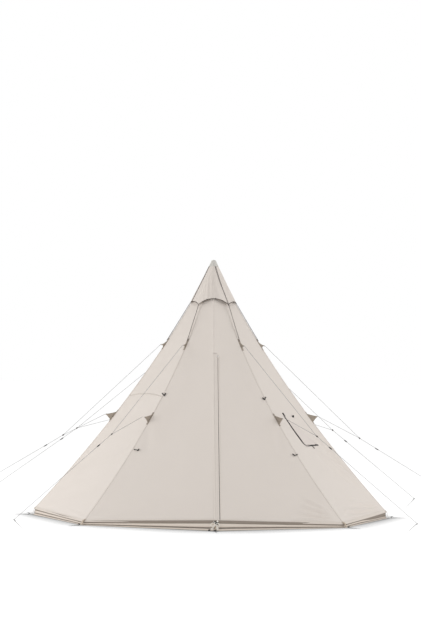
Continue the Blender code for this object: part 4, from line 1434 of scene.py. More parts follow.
@dataclass
class Window:
    """The three-cornered window: its flap, zip, net and pull.

    Args:
        panel: the panel that it is in.
        across: shares of the panel's width that its patch spans.
        up: heights that its patch spans.
        corners: of the window, as shares of the patch.
        patch_size: width and height that the corners' way out is measured by.
        gap: round the flap.
        tie: share across and height of the flap's tie.
        zip_shifts: how far the zip's ends and its turn lie off the window's corners.
        turn: share of each run that the zip's bend takes.
        zip_half: half the zip's width at its top and at its end.
    """

    panel: Panel
    across: Pair = (0.27, 0.74)
    up: Pair = (0.84, 1.26)
    corners: tuple[Pair, ...] = ((0.045, 0.905), (0.235, 0.087), (0.865, 0.087))
    patch_size: Pair = (0.62, 0.58)
    gap: float = 0.0036
    tie: Pair = (0.552, 1.205)
    zip_shifts: tuple[Pair, ...] = ((0.036, 0.014), (-0.019, 0.026), (0.020, 0.006))
    turn: float = 0.14
    zip_half: Pair = (0.0190, 0.0090)

    def corner(self, k: int, grow: float = 0.0) -> Pair:
        """The share across and height of a corner, moved out from the middle."""
        a, b = self.corners[k]
        u = self.across[0] + (self.across[1] - self.across[0]) * a
        z = self.up[0] + (self.up[1] - self.up[0]) * b
        middle = [sum(c[m] for c in self.corners) / 3 for m in (0, 1)]
        du, dz = a - middle[0], b - middle[1]
        size = math.hypot(du * self.patch_size[0], dz * self.patch_size[1])
        return u + grow * du / size * 0.9, z + grow * dz / size * 0.8

    def past_fold(self, k: int, reach: float, grow: float) -> Pair:
        """A corner moved past the line that the flap folds on."""
        u, z = self.corner(k, grow)
        if k == 1:
            return u, z
        first, last = (self.panel.at(*self.corner(m)) for m in (0, 2))
        width = self.panel.width_at(0.5, (self.up[0] + self.up[1]) / 2)
        line = Vector(((self.corner(2)[0] - self.corner(0)[0]) * width, last.z - first.z))
        aside = Vector((-line.y, line.x)).normalized() * reach
        return u + aside.x / width, z + aside.y

    def place(self, k: int, grow: float = 0.0, height: float = 0.0) -> Vector:
        """A corner on the cloth."""
        return self.panel.at(*self.corner(k, grow), height)

    def cut(self, sheet: Piece) -> None:
        """Cut the window out of the sheet."""
        points = [self.place(k, self.gap * 2, h) for h in (-0.03, 0.03) for k in range(3)]
        faces = [(0, 2, 1), (3, 4, 5), (0, 1, 4, 3), (1, 2, 5, 4), (2, 0, 3, 5)]
        cutter = Bench.mesh("cutter", points, faces)
        shape = bmesh.new()
        shape.from_mesh(cutter.data)
        bmesh.ops.recalc_face_normals(shape, faces=shape.faces)
        shape.to_mesh(cutter.data)
        shape.free()
        Bench.subtract(sheet, cutter)

    def triangle(
        self,
        name: str,
        grow: float,
        height: float,
        thickness: float,
        flat: Pair,
        bulge: float = 0.0,
        reach: float = 0.0,
    ) -> Piece:
        """A three-cornered sheet over the window.

        Args:
            name: of the piece.
            grow: how far it reaches past the window's corners.
            height: above the canvas.
            thickness: of its cloth.
            flat: the size of the piece that it was cut from.
            bulge: how far its middle stands out.
            reach: how far it goes past the line that the flap folds on.

        Returns:
            The sheet.
        """
        (ua, za), (ub, zb), (uc, zc) = (self.past_fold(k, reach, grow) for k in range(3))
        rows = []
        for t in steps(20, 0.004, 1.0):
            row = []
            for s in steps(20):
                u = ua + (ub - ua) * t + (uc - ub) * t * s
                z = za + (zb - za) * t + (zc - zb) * t * s
                swell = bulge * math.sin(math.pi * t) * math.sin(math.pi * s)
                row.append(self.panel.at(u, z, height + swell))
            rows.append(row)
        made = Bench.grid(name, rows, thickness)
        cloth(made, rows, flat)
        return made

    def build(self) -> None:
        """Make the flap, its tie, the net, the zip and its pull."""
        cover = self.triangle("window_cover", 0.0062, 0.0022, 0.0016, (0.36, 0.42), 0.005, 0.018)
        dress(cover, FLAP_CANVAS, None, ["window_flap"])
        bend(cover, "window_flap", self.place(0), self.place(2), self.place(1), 0.012)
        place = Bench.turn(UP, self.panel.out(*self.tie), self.panel.at(*self.tie, 0.003))
        fitting("window_tie", (0.030, 0.040, 0.009), 0.004, place, BLACK_PLASTIC)
        net = self.triangle("window_net", 0.014, -0.004, 0.0008, (0.40, 0.44))
        dress(net, FLY_MESH, "tent", ["window_mesh"])
        path = self.run()
        self.zip(path)
        self.pull(*path[-10])

    def zip(self, path: Sequence[Pair]) -> None:
        """The closed zip along its path."""
        rows: list[list[Vector]] = [[], [], []]
        places = [self.panel.at(*spot, 0.0015) for spot in path]
        wide, narrow = self.zip_half
        for k, here in enumerate(places):
            ahead, behind = places[min(k + 1, len(path) - 1)], places[max(k - 1, 0)]
            out = self.panel.out(*path[k])
            side = (ahead - behind).normalized().cross(out)
            half = wide if k < 15 else max(narrow, wide - 0.0016 * (k - 14))
            for row, (share, lift) in zip(rows, ((-1, 0), (0, 0.0020), (1, 0))):
                row.append(here + side * half * share + out * lift)
        dress(Bench.grid("window_zip_coil", rows, 0.0008), ZIP_COIL, "tent", ["window_zip"])

    def run(self) -> list[Pair]:
        """The zip's path on the panel: down from the top and along below, round a corner."""
        top, turn, end = (
            Vector(self.corner(k, self.gap * 2 + 0.008)) + Vector(shift)
            for k, shift in enumerate(self.zip_shifts)
        )
        start = top.lerp(turn, 1 - self.turn)
        finish = turn.lerp(end, self.turn)
        made = [top.lerp(start, t) for t in steps(16)]
        made += [start.lerp(turn, t).lerp(turn.lerp(finish, t), t) for t in steps(6)[1:]]
        made += [finish.lerp(end, t) for t in steps(16, 0, 0.96)[1:]]
        return [tuple(place) for place in made]

    def pull(self, u: float, z: float) -> None:
        """The zip's slider and hanging tape, on the lower run."""
        panel = self.panel
        spot, out = panel.at(u, z, 0.0045), panel.out(u, z)
        along = (panel.at(u + 0.05, z) - panel.at(u - 0.05, z)).normalized()
        place = Bench.turn(along, out, spot)
        fitting("window_zip_slider", (0.016, 0.010, 0.004), 0.0015, place, BLACK_PLASTIC)
        fall = (panel.at(u + 0.018, z - 0.05) - panel.at(u, z)).normalized()
        place = Bench.turn(fall, out, spot + fall * 0.027)
        fitting("window_zip_tag", (0.054, 0.013, 0.0022), 0.001, place, DARK_WEBBING)


# ---------------------------------------------------------------- ridges


@dataclass
class Ridge:
    """What is sewn along a ridge: its tape, guy tabs, cap elastic and peg loop.

    Args:
        azimuth: of the ridge.
        width: of its tape.
        eye_out: from the hem's corner to the middle of the peg's eye.
        eye_z: height of the eye's underside.
        loop_w: width of the peg loop's webbing.
        upper_z: height of the upper tab's middle.
        upper_length: length of the upper tab.
    """

    azimuth: int
    width: float = 0.026
    eye_out: float = 0.055
    eye_z: float = 0.0102
    loop_w: float = 0.024
    upper_z: float = 2.03
    upper_length: float = 0.125

    @property
    def name(self) -> str:
        """The ridge's name."""
        return RIDGES[self.azimuth]

    @property
    def node(self) -> str:
        """The CAD node of its tape."""
        return f"ridge_tape_{self.name}"

    def build(self) -> None:
        """Make everything on the ridge."""
        self.tape()
        self.loop()
        if self.azimuth not in (0, 180):
            self.tab("upper", self.upper_z, self.upper_length, 0.035, 0.035)
            self.tab("lower", 1.175, 0.130, 0.080, 0.040)
            self.elastic()

    def tape(self) -> None:
        """The tape over the ridge, from the hem, or the zip's top, to the collar."""
        low = FORM.zip_top_z + 0.015 if self.azimuth == 0 else FORM.hem_z(self.azimuth) + 0.004
        high = FORM.collar_z - 0.004
        half = self.width / 2
        lines = (
            (-half, 0.0004), (-half + 0.003, 0.0018), (-half / 2, 0.0019), (0.0, 0.0022),
            (half / 2, 0.0019), (half - 0.003, 0.0018), (half, 0.0004),
        )
        rows = [
            [beside(self.azimuth, z, away, height) for away, height in lines]
            for z in steps(70, high, low)
        ]
        tape = Bench.grid(f"ridge_cover_{self.name}", rows, 0.0008, centred=True)
        dress(tape, CANVAS if self.azimuth == 0 else CANVAS_TRIM, stands_for=[self.node])

    def frame(self, z: float) -> tuple[Vector, Vector, Vector]:
        """The ridge's place at a height, the way up it and the way out of it."""
        above, below = (FORM.ridge(self.azimuth, z + rise) for rise in (0.02, -0.02))
        up = (above - below).normalized()
        radial = FORM.polar(1, self.azimuth, 0)
        return FORM.ridge(self.azimuth, z), up, (radial - up * radial.dot(up)).normalized()

    def tab(self, place: str, z: float, length: float, reach: float, drop: float) -> None:
        """A webbing triangle that stands on the ridge, with a ring in its tip.

        Args:
            place: upper or lower.
            z: height of its middle.
            length: along the ridge.
            reach: how far its tip stands out.
            drop: how far its tip lies below its middle, along the ridge.
        """
        at, up, out = self.frame(z)
        narrow = 2.4 if place == "upper" else 1.25

        def make() -> Piece:
            """Model the triangle."""
            rows = []
            for t in steps(10):
                half = (length / 2) * (1 - t) ** narrow + 0.006 * t
                bend = 0.0016 + 0.0022 * math.sin(3.0 * t)
                row = []
                for w in steps(8, -1, 1):
                    rise = 0.001 + reach * t - 0.004 * (1 - t) * w * w
                    row.append(Vector((half * w - drop * t, -bend, rise)))
                rows.append(row)
            return Bench.grid(f"{place} tab", rows, 0.0032)

        name = f"{place}_{self.name}"
        made = Pattern.copy(f"{place} tab", f"guy_tab_{name}", Bench.turn(up, out, at), make)
        dress(made, TAB_WEBBING, stands_for=[self.node])
        foot = [
            [beside(self.azimuth, z + length / 2 * w, away, 0.0028 if away else 0.0032)
             for away in (-0.014, -0.007, 0.0, 0.007, 0.014)]
            for w in (1.06, 0.6, 0.2, -0.2, -0.6, -1.06)
        ]
        dress(Bench.grid(f"guy_patch_{name}", foot, 0.001, centred=True), TAB_WEBBING)
        tip = at + out * (reach + 0.001) - up * drop
        ring = Pattern.ring(f"guy_ring_{name}", tip, out, up.cross(out), 0.0075, 0.0016)
        dress(ring, PLATED_STEEL)

    def elastic(self, diameter: float = 0.0060) -> None:
        """The elastic from the ridge up to the cap's corner."""
        at, _, out = self.frame(self.upper_z + self.upper_length * 0.30)
        start, end = at + out * 0.007, CAP.eye(self.azimuth)
        path = GuyRope.line(start, end, 12, 0.002)
        piece = Bench.tube(f"cap_elastic_{self.name}", path, diameter / 2, resolution=2)
        dress(piece, DARK_ELASTIC)

    def loop(self) -> None:
        """The webbing from the corner down to a flat eye, and the peg through it."""
        out = FORM.polar(1, self.azimuth, 0)
        side = Vector((-out.y, out.x, 0))
        hem = FORM.hem_z(self.azimuth)
        corner, eye_r = FORM.corner_r, FORM.corner_r + self.eye_out
        if self.azimuth == 0:
            path = [(corner + 0.002, 0.062), (corner + 0.004, 0.045)]
        else:
            on_ridge = FORM.ridge(self.azimuth, hem + 0.03)
            path = [
                (math.hypot(on_ridge.x, on_ridge.y) + 0.004, hem + 0.03),
                (corner + 0.006, max(hem, 0.045)),
            ]
        path += [
            (corner + 0.012, 0.026),
            (eye_r - 0.022, self.eye_z + 0.004),
            (eye_r - 0.010, self.eye_z + 0.003),
        ]
        rows = [
            [out * r + UP * z + side * (self.loop_w / 2 * w) for w in (-1, -0.5, 0, 0.5, 1)]
            for r, z in self.smooth(path, 5)
        ]
        strap = Bench.grid(f"peg_loop_{self.name}", rows, 0.0018, centred=True)
        node = "groundsheet_band" if self.azimuth == 0 else self.node
        dress(strap, PALE_WEBBING, stands_for=[node])
        eye = out * eye_r + UP * (self.eye_z + 0.0016)
        dress(Pattern.ring(f"peg_eye_{self.name}", eye, out, UP, 0.0097, 0.0022), BLACK_PLASTIC)
        hook_r = eye_r + 0.0055 - Peg.radius - 0.0003 + Peg.hook_r
        middle = out * hook_r + UP * (self.eye_z + 0.0015)
        Peg.make(f"corner_stake_{self.name}", middle, out, UP, f"peg_{self.name}")

    @staticmethod
    def smooth(path: Sequence[Pair], count: int) -> list[Pair]:
        """A path with rounded bends through the same points."""
        made = []
        for near in zip((path[0], *path), path, path[1:], (*path[2:], path[-1])):
            for t in steps(count)[:-1]:
                made.append(tuple(
                    b + (c - a) * t / 2 + (a - 2.5 * b + 2 * c - d / 2) * t * t
                    + (1.5 * (b - c) + (d - a) / 2) * t**3
                    for a, b, c, d in zip(*near)
                ))
        return [*made, path[-1]]


# ---------------------------------------------------------------- vent cap


@dataclass(frozen=True)
class VentCap:
    """The cap over the vents, its binding, tip and eyelets, and the mesh below it.

    Args:
        tip_r: radius of the straight cone at its top.
        spread: growth of the radius per metre down.
        peak: height of its rounded top above the cone's.
        crease: azimuths of its four seams at its top and at its rim; it is round between.
        corners: azimuths of its eyelets.
        width: share of the cone's radius at each ridge.
        rim_z: height of the rim at each ridge, under its arches.
        arch: rise of the rim between corners this far apart.
        puckers: small creases, from an azimuth and share down to another, and how deep.
    """

    tip_r: float = 0.03
    spread: float = 0.51
    peak: float = 0.028
    crease: tuple[tuple[int, int], ...] = ((14, 46), (100, 135), (-140, -150), (-74, -76))
    corners: tuple[int, ...] = (-135, -90, -45, 45, 90, 135)
    width: ClassVar[dict[int, float]] = {0: 0.90, 45: 0.86, 90: 0.985, 135: 0.88, 180: 0.90}
    rim_z: ClassVar[dict[int, float]] = {0: 2.497, 45: 2.497, 90: 2.512, 135: 2.49, 180: 2.49}
    arch: ClassVar[dict[int, float]] = {45: 0.03, 90: 0.072}
    puckers: tuple[tuple[float, float, float, float, float], ...] = (
        (-30, 0.95, -35, 0.58, -0.0040),
        (-21, 0.93, -27, 0.60, 0.0030),
        (-10, 0.96, -26, 0.42, -0.0040),
        (-4, 0.90, -12, 0.50, 0.0035),
        (6, 0.97, -3, 0.40, -0.0040),
        (20, 0.96, 5, 0.55, 0.0035),
        (40, 0.97, 16, 0.62, -0.0035),
        (64, 0.95, 52, 0.45, -0.0035),
        (-60, 0.97, -48, 0.55, -0.0035),
        (150, 0.96, 168, 0.50, -0.0040),
        (-172, 0.95, -160, 0.55, -0.0035),
        (112, 0.95, 120, 0.50, -0.0035),
    )

    def pucker(self, azimuth: float, down: float) -> float:
        """How far the creases in its cloth move it in or out."""
        out = 0.0
        for first, start, last, end, depth in self.puckers:
            place = Vector((signed(azimuth - last) * 0.0036, (down - end) * 0.5))
            run = Vector(((first - last) * 0.0036, (start - end) * 0.5))
            share = max(0.0, min(1.0, place.dot(run) / run.length_squared))
            distance = (place - run * share).length / 0.016
            out += depth * math.exp(-distance * distance)
        return out

    @staticmethod
    def between(values: dict[int, float], azimuth: float) -> float:
        """A value between those at the ridges, the same on both sides."""
        a = abs(signed(azimuth))
        low = min(int(a // 45), 3) * 45
        share = 0.5 - 0.5 * math.cos(math.pi * (a - low) / 45)
        return values[low] * (1 - share) + values[low + 45] * share

    def rim(self, azimuth: float) -> float:
        """Height of the rim at an azimuth."""
        azimuth = signed(azimuth)
        for first, second in zip(self.corners, (*self.corners[1:], self.corners[0] + 360)):
            for a in (azimuth, azimuth + 360):
                if first <= a <= second:
                    share = (a - first) / (second - first)
                    rise = self.arch[second - first] * math.sin(math.pi * share) ** 0.7
                    return self.between(self.rim_z, azimuth) + rise
        raise ValueError(azimuth)

    def seam(self, k: int, down: float) -> float:
        """Azimuth of a seam at a share down."""
        top, low = self.crease[k]
        return top + (low - top) * down**0.65

    def eye(self, azimuth: int) -> Vector:
        """Where the elastic meets the ring below a corner."""
        rim = self.point(azimuth, 1.0)
        return rim + (rim - self.point(azimuth, 0.97)).normalized() * 0.0125

    def point(self, azimuth: float, down: float, height: float = 0.0) -> Vector:
        """The place on the cap at an azimuth and a share down from its top to its rim."""
        top = FORM.apex_z + self.peak
        z = top + (self.rim(azimuth) - top) * down
        below = top - z
        cone = self.tip_r + self.spread * (FORM.apex_z - z)
        rounded = 0.0165 * math.sqrt(min(1.0, below / 0.010)) + 0.42 * below
        radius = min(cone if z < FORM.apex_z else 1.0, rounded + 0.13 * below)
        radius = radius * self.between(self.width, azimuth) + 0.0015
        seams = (self.seam(k, down) for k in range(len(self.crease)))
        apart = min(abs(signed(azimuth - c)) for c in seams)
        radius *= 1 + 0.016 * math.exp(-((apart / 7) ** 2)) * min(1.0, below / 0.1)
        radius += self.pucker(azimuth, down)
        tilt = math.atan(self.spread)
        place = FORM.polar(radius + height * math.cos(tilt), azimuth, z)
        return place + UP * height * math.sin(tilt)

    def build(self) -> None:
        """Make the cap and what is on it."""
        rows = []
        for down in (t**0.9 for t in steps(44)):
            row = []
            for azimuth in rounds(192):
                wave = noise.noise(FORM.polar(2.2, azimuth, 3 * down)) * 0.004 * down
                row.append(self.point(azimuth, down, wave))
            rows.append(row)
        shell = Bench.grid("cap_cloth", rows, 0.0016, closed=True)
        dress(shell, CANVAS, stands_for=["vent_cap"])
        edge = [self.point(azimuth, 1.0, -0.0008) for azimuth in rounds(384)]
        bind = Bench.as_mesh(Bench.tube("cap_binding", edge, 0.0030, True, resolution=2))
        fittings = [dress(bind, BROWN_BINDING)]
        for azimuth in self.corners:
            rim = self.point(azimuth, 1.0, -0.0008)
            down = (rim - self.point(azimuth, 0.97)).normalized()
            normal = down.cross(FORM.polar(1, azimuth, 0).cross(UP)).normalized()
            name = f"cap_eyelet_{RIDGES[azimuth]}"
            ring = Pattern.ring(name, rim + down * 0.0075, down, normal, 0.0062, 0.0019)
            fittings.append(dress(ring, BLACK_PLASTIC))
        for azimuth in (-20, 5):
            name, size = f"cap_stud_{azimuth % 360}", (0.012, 0.012, 0.008)
            place = Bench.turn(UP, FORM.polar(1, azimuth, 0), self.point(azimuth, 1.0, 0.001))
            fittings.append(fitting(name, size, 0.003, place, BLACK_PLASTIC))
        cloth(shell, rows, (1.02, 0.70), rests_on=["pole_tip"], with_pieces=fittings)
        self.seams()
        self.tip()
        self.mesh()

    def seams(self) -> None:
        """Felled seams down the cap at its creases."""
        for k in range(len(self.crease)):
            rows = []
            for down in steps(40, 0.165, 0.995):
                azimuth = self.seam(k, down)
                before, after = (self.point(azimuth + turn, down) for turn in (-1, 1))
                aside = (after - before).normalized() * 0.0095
                side = self.point(azimuth, down, 0.0010)
                rows.append([side - aside, self.point(azimuth, down, 0.0022), side + aside])
            dress(Bench.grid(f"cap_seam_{k + 1}", rows, 0.0007, centred=True), CAP_SEAM)

    def tip(self) -> None:
        """The worn patch over the pole's tip."""
        lifts = [0.0013] * 16 + [0.0002]
        rows = [
            [self.point(azimuth, down, lift) for azimuth in rounds(64)]
            for down, lift in zip(steps(16, 0.012, 0.162), lifts)
        ]
        dress(Bench.grid("cap_tip_patch", rows, 0.0008, closed=True), TIP_PATCH)
        top = UP * (FORM.apex_z + self.peak)
        lid = [[p.lerp(top, t) for p in rows[0]] for t in (0.98, 0.6, 0.3, 0)]
        dress(Bench.grid("cap_top", lid, 0.0008, closed=True), TIP_PATCH)

    @staticmethod
    def mesh(least: float = 0.0200, top: float = 2.974) -> None:
        """The dark mesh from the canvas collar up to the pole's tip.

        Args:
            least: how near it may come to the pole's middle.
            top: height of its upper end.
        """
        rows = []
        for z in steps(12, top, FORM.collar_z + 0.004):
            row = []
            for a in rounds(64):
                low = int(a // 45) * 45
                first, second = (
                    FORM.ridge(k if k == 180 else int(signed(k)), z) for k in (low, low + 45)
                )
                place = first.lerp(second, (a - low) / 45)
                flat = Vector((place.x, place.y, 0))
                if flat.length < least:
                    place = flat.normalized() * least + UP * z
                row.append(place)
            rows.append(row)
        net = Bench.grid("vent_net", rows, 0.0008, closed=True)
        dress(net, FLY_MESH, stands_for=["vent_mesh"])
        cloth(net, rows, (1.1, 0.5), rests_on=["pole_tip"])


CAP = VentCap()


# ---------------------------------------------------------------- door


@dataclass
class Door:
    """The storm flap and the zip along the door's edge.

    Args:
        flap_left: from the front line to the flap's sewn edge.
        flap_right: from the front line to its free edge.
        edge: from the front line to the middle of the zip.
        top_z: of the zip.
        low_z: of the zip's lower end.
        slider_z: height of the closed zip's slider.
    """

    flap_left: float = 0.016
    flap_right: float = 0.0475
    edge: float = 0.0520
    top_z: float = 1.905
    low_z: float = 0.118
    slider_z: float = 1.895

    @staticmethod
    def spot(z: float, away: float, height: float) -> Vector:
        """A place beside the front line, on whichever side away points to."""
        return DoorLine.face(1 if away >= 0 else -1, z, abs(away), height)

    def strip(
        self, name: str, lines: Sequence[Pair], low: float, high: float, thick: float
    ) -> Piece:
        """A strip along the door's edge, from lines of distance and height."""
        rows = [
            [self.spot(z, away, height) for away, height in lines] for z in steps(90, high, low)
        ]
        return Bench.grid(name, rows, thick, centred=True)

    def build(self) -> None:
        """Make the flap, both tapes, both coils, the slider and its pull."""
        lines = (
            (-self.flap_left, 0.0006), (-self.flap_left + 0.003, 0.0030), (-0.006, 0.0040),
            (0.0001, 0.0044), (0.006, 0.0042), (0.016, 0.0040), (0.032, 0.0038),
            (self.flap_right - 0.003, 0.0040), (self.flap_right, 0.0030),
        )
        flap = self.strip("storm_cover", lines, 0.088, FORM.zip_top_z + 0.012, 0.0018)
        dress(flap, CANVAS_TRIM, "door_left", ["storm_flap"])
        left = ((0.024, 0.0008), (0.042, 0.0008), (self.edge - 0.0022, 0.0008))
        right = ((self.edge + 0.0022, 0.0006), (0.060, 0.0018), (0.0705, 0.0016), (0.072, 0.0004))
        low = self.low_z - 0.02
        for side, lines, finish in (("left", left, PALE_WEBBING), ("right", right, CANVAS_TRIM)):
            tape = self.strip(f"zip_tape_{side}", lines, low, self.top_z, 0.0008)
            dress(tape, finish, f"door_{side}", [f"zip_{side}"])
        teeth = ((0.0028, 0.0008), (0.0024, 0.0026), (0.0004, 0.0026), (0.0002, 0.0008))
        for side, sign in (("left", -1), ("right", 1)):
            lines = [(self.edge + sign * away, height) for away, height in teeth][::-sign]
            coil = self.strip(f"zip_coil_{side}", lines, self.low_z, self.top_z, 0.0006)
            dress(coil, DOOR_COIL, f"door_{side}")
        self.slider()

    def slider(self) -> None:
        """The slider at the top of the zip, with its bridge and its puller."""
        z = self.slider_z
        spot = self.spot(z, self.edge, 0.0045)
        foot = self.spot(z, self.edge, 0)
        below, above = (self.spot(z + rise, self.edge, 0) for rise in (-0.02, 0.02))
        along = (below - above).normalized()
        out = (self.spot(z, self.edge, 0.01) - foot).normalized()
        body = Bench.block("door_slider", (0.017, 0.013, 0.0042), 0.0016)
        Bench.placed(body, Bench.turn(along, out, spot))
        dress(body, PLATED_STEEL, "zip_slider", ["zip_slider"])
        bridge = Bench.block("door_slider_bridge", (0.010, 0.0035, 0.0028), 0.001)
        Bench.placed(bridge, Bench.turn(along, out, spot + out * 0.0030))
        dress(bridge, PLATED_STEEL, "zip_slider")
        puller = Bench.block("door_puller", (0.030, 0.009, 0.0020), 0.0009)
        Bench.holed(puller, -0.011, 0.0022, 0.01)
        Bench.holed(puller, 0.010, 0.0028, 0.01)
        fall = (along + out * 0.10).normalized()
        Bench.placed(puller, Bench.turn(fall, out, spot + along * 0.016 + out * 0.0042))
        dress(puller, CREAM_WEBBING, "zip_slider")


# ---------------------------------------------------------------- groundsheet


@dataclass
class Groundsheet:
    """The sewn-in floor with its raised edge, and the brown strip under the hem, which is brown
    trim and painted shade.

    Args:
        inset: of the floor from the hem's corners.
        cloth: its thickness.
        columns: cells along each side.
        profile: offsets outwards and shares of its height, down to the lip on the ground.
    """

    inset: float = 0.004
    cloth: float = 0.0016
    columns: int = 24
    profile: tuple[Pair, ...] = (
        (-0.010, 1.0), (-0.004, 0.80), (0.0, 0.60), (-0.002, 0.44), (-0.012, 0.37),
        (-0.012, 0.26), (-0.002, 0.20), (0.006, 0.13), (0.012, 0.07), (0.018, 0.03),
    )

    def ring(self, offset: float, height: Callable[[float], float]) -> list[Vector]:
        """A closed line round the octagon, clockwise seen from above.

        Args:
            offset: from the hem's corners, outwards.
            height: of the line, by azimuth.

        Returns:
            Its points.
        """
        made = []
        for k in range(8):
            first, second = (FORM.polar(FORM.corner_r + offset, 45 * m, 0) for m in (k, k + 1))
            for share in steps(self.columns)[:-1]:
                place = first.lerp(second, share)
                place.z = height(45 * (k + share))
                held = math.sin(math.pi * share)
                slack = noise.noise(place * 2.6) * 0.008 * held
                radial = Vector((place.x, place.y, 0)).normalized()
                made.append(place + radial * (slack - 0.004 * held))
        return made

    @staticmethod
    def top(azimuth: float) -> float:
        """Height of the raised edge: close under the hem in front and on the left."""
        a = signed(azimuth)
        shown = max(0.0, min(1.0, (74 - a) / 10, (a + 98) / 8))
        gap = 0.017 - 0.005 * min(abs(a), 45) / 45
        return (FORM.edge_z(azimuth) - gap) * shown + 0.022 * (1 - shown)

    def part(self, share: float, rise: float = 0.0) -> Callable[[float], float]:
        """Heights at a share of the raised edge, by azimuth."""
        return lambda azimuth: self.top(azimuth) * share + rise

    def build(self) -> None:
        """Make the floor, the raised edge, its welded seam and the brown strip; the seam's and the
        strip's dark tones are partly painted shade.
        """
        floor = []
        for r in (0.02, 0.25, 0.5, 0.75, 0.9, 0.985):
            row = []
            for k in range(48):
                place = FORM.polar((FORM.corner_r - self.inset) * r, 45 * k / 6, 0)
                turn = (7.5 * k) % 45 - 22.5
                chord = math.cos(math.radians(22.5)) / math.cos(math.radians(turn))
                row.append(Vector((place.x * chord, place.y * chord, 0.0026)))
            floor.append(row)
        made = Bench.grid("floor_sheet", floor, 0.0022, closed=True)
        dress(made, GROUNDSHEET, stands_for=["groundsheet_floor"])
        cloth(made, floor, (4.16, 4.16), Hold.LAID)
        rows = [self.ring(offset, self.part(share)) for offset, share in self.profile]
        band = Bench.grid("raised_edge", rows, self.cloth, closed=True)
        dress(band, GROUNDSHEET, stands_for=["groundsheet_band"])
        cloth(band, rows, (12.8, 0.13), Hold.HUNG)
        # A dark ring that is the welded seam and painted shade in the crease between the raised
        # edge and its lip.
        weld = [self.ring(-0.0035, self.part(0.30, rise)) for rise in (0.0095, -0.0015)]
        dress(Bench.grid("edge_weld_and_shade", weld, 0.001, closed=True), WELD_SEAM_AND_SHADE)
        # The brown strip is brown trim and painted shade in the gap under the hem.
        strip = [
            self.ring(-0.012, lambda a: FORM.edge_z(a) + 0.012),
            self.ring(-0.009, lambda a: FORM.edge_z(a) - 0.010),
            self.ring(-0.006, self.part(1.0, -0.006)),
        ]
        dress(Bench.grid("brown_strip_and_shade", strip, 0.0012, closed=True), HEM_TRIM_AND_SHADE)


# ---------------------------------------------------------------- pole


@dataclass
class Pole:
    """The steel pole: three tubes, their push buttons, a foot and a tip.

    Args:
        radius: of the tubes.
        joints: heights of the joints.
        button_r: radius of the push buttons.
        foot_r: radius of the foot, and foot_h its height.
        tip_r: radius of the tip, and tip_h its height.
        base: height of the foot's underside.
        top: height of the tip's upper end.
    """

    radius: float = 0.016
    joints: Pair = (0.98, 1.96)
    button_r: float = 0.0045
    foot_r: float = 0.038
    foot_h: float = 0.022
    tip_r: float = 0.019
    tip_h: float = 0.020
    base: float = 0.0033
    top: float = 2.9967

    @staticmethod
    def cylinder(name: str, radius: float, low: float, high: float, bevel: float) -> Piece:
        """A round bar with softened ends, shaped from a cylinder."""
        size = {"vertices": 64, "radius": radius, "depth": high - low}
        made = Bench.solid(MESH.primitive_cylinder_add, name, **size)
        made.data.transform(Matrix.Translation(UP * (low + high) / 2))
        Bench.modify(made, "BEVEL", width=bevel, segments=3, limit_method="ANGLE")
        bpy.ops.object.shade_smooth_by_angle(angle=math.radians(40))
        return made

    def build(self) -> None:
        """Make the tubes, the buttons, the foot and the tip."""
        foot_top = self.base + self.foot_h
        ends = [foot_top, *self.joints, self.top - self.tip_h]
        for name, low, high in zip(("lower", "middle", "upper"), ends, ends[1:]):
            tube = self.cylinder(f"tube_{name}", self.radius, low + 0.0006, high - 0.0006, 0.0006)
            dress(tube, PLATED_STEEL, stands_for=[f"pole_{name}"])
        for k, z in enumerate(self.joints):
            size = {"segments": 24, "ring_count": 12, "radius": self.button_r}
            button = Bench.solid(MESH.primitive_uv_sphere_add, f"pole_button_{k + 1}", **size)
            bpy.ops.object.shade_smooth()
            place = Vector((0, -self.radius + 0.0012, z + 0.035))
            dress(Bench.placed(button, Matrix.Translation(place)), PLATED_STEEL)
        foot = self.cylinder("foot_cup", self.foot_r, self.base, foot_top, 0.003)
        Bench.faces_where(foot, lambda face: face.normal.z > 0.99)
        MESH.inset(thickness=self.foot_r - self.radius - 0.006)
        bpy.ops.transform.translate(value=(0, 0, 0.008))
        bpy.ops.object.mode_set(mode="OBJECT")
        dress(foot, BLACK_PLASTIC, stands_for=["pole_foot"])
        tip = self.cylinder("tip_cap", self.tip_r, self.top - self.tip_h, self.top, 0.004)
        dress(tip, BLACK_PLASTIC, stands_for=["pole_tip"])


# ---------------------------------------------------------------- small fittings


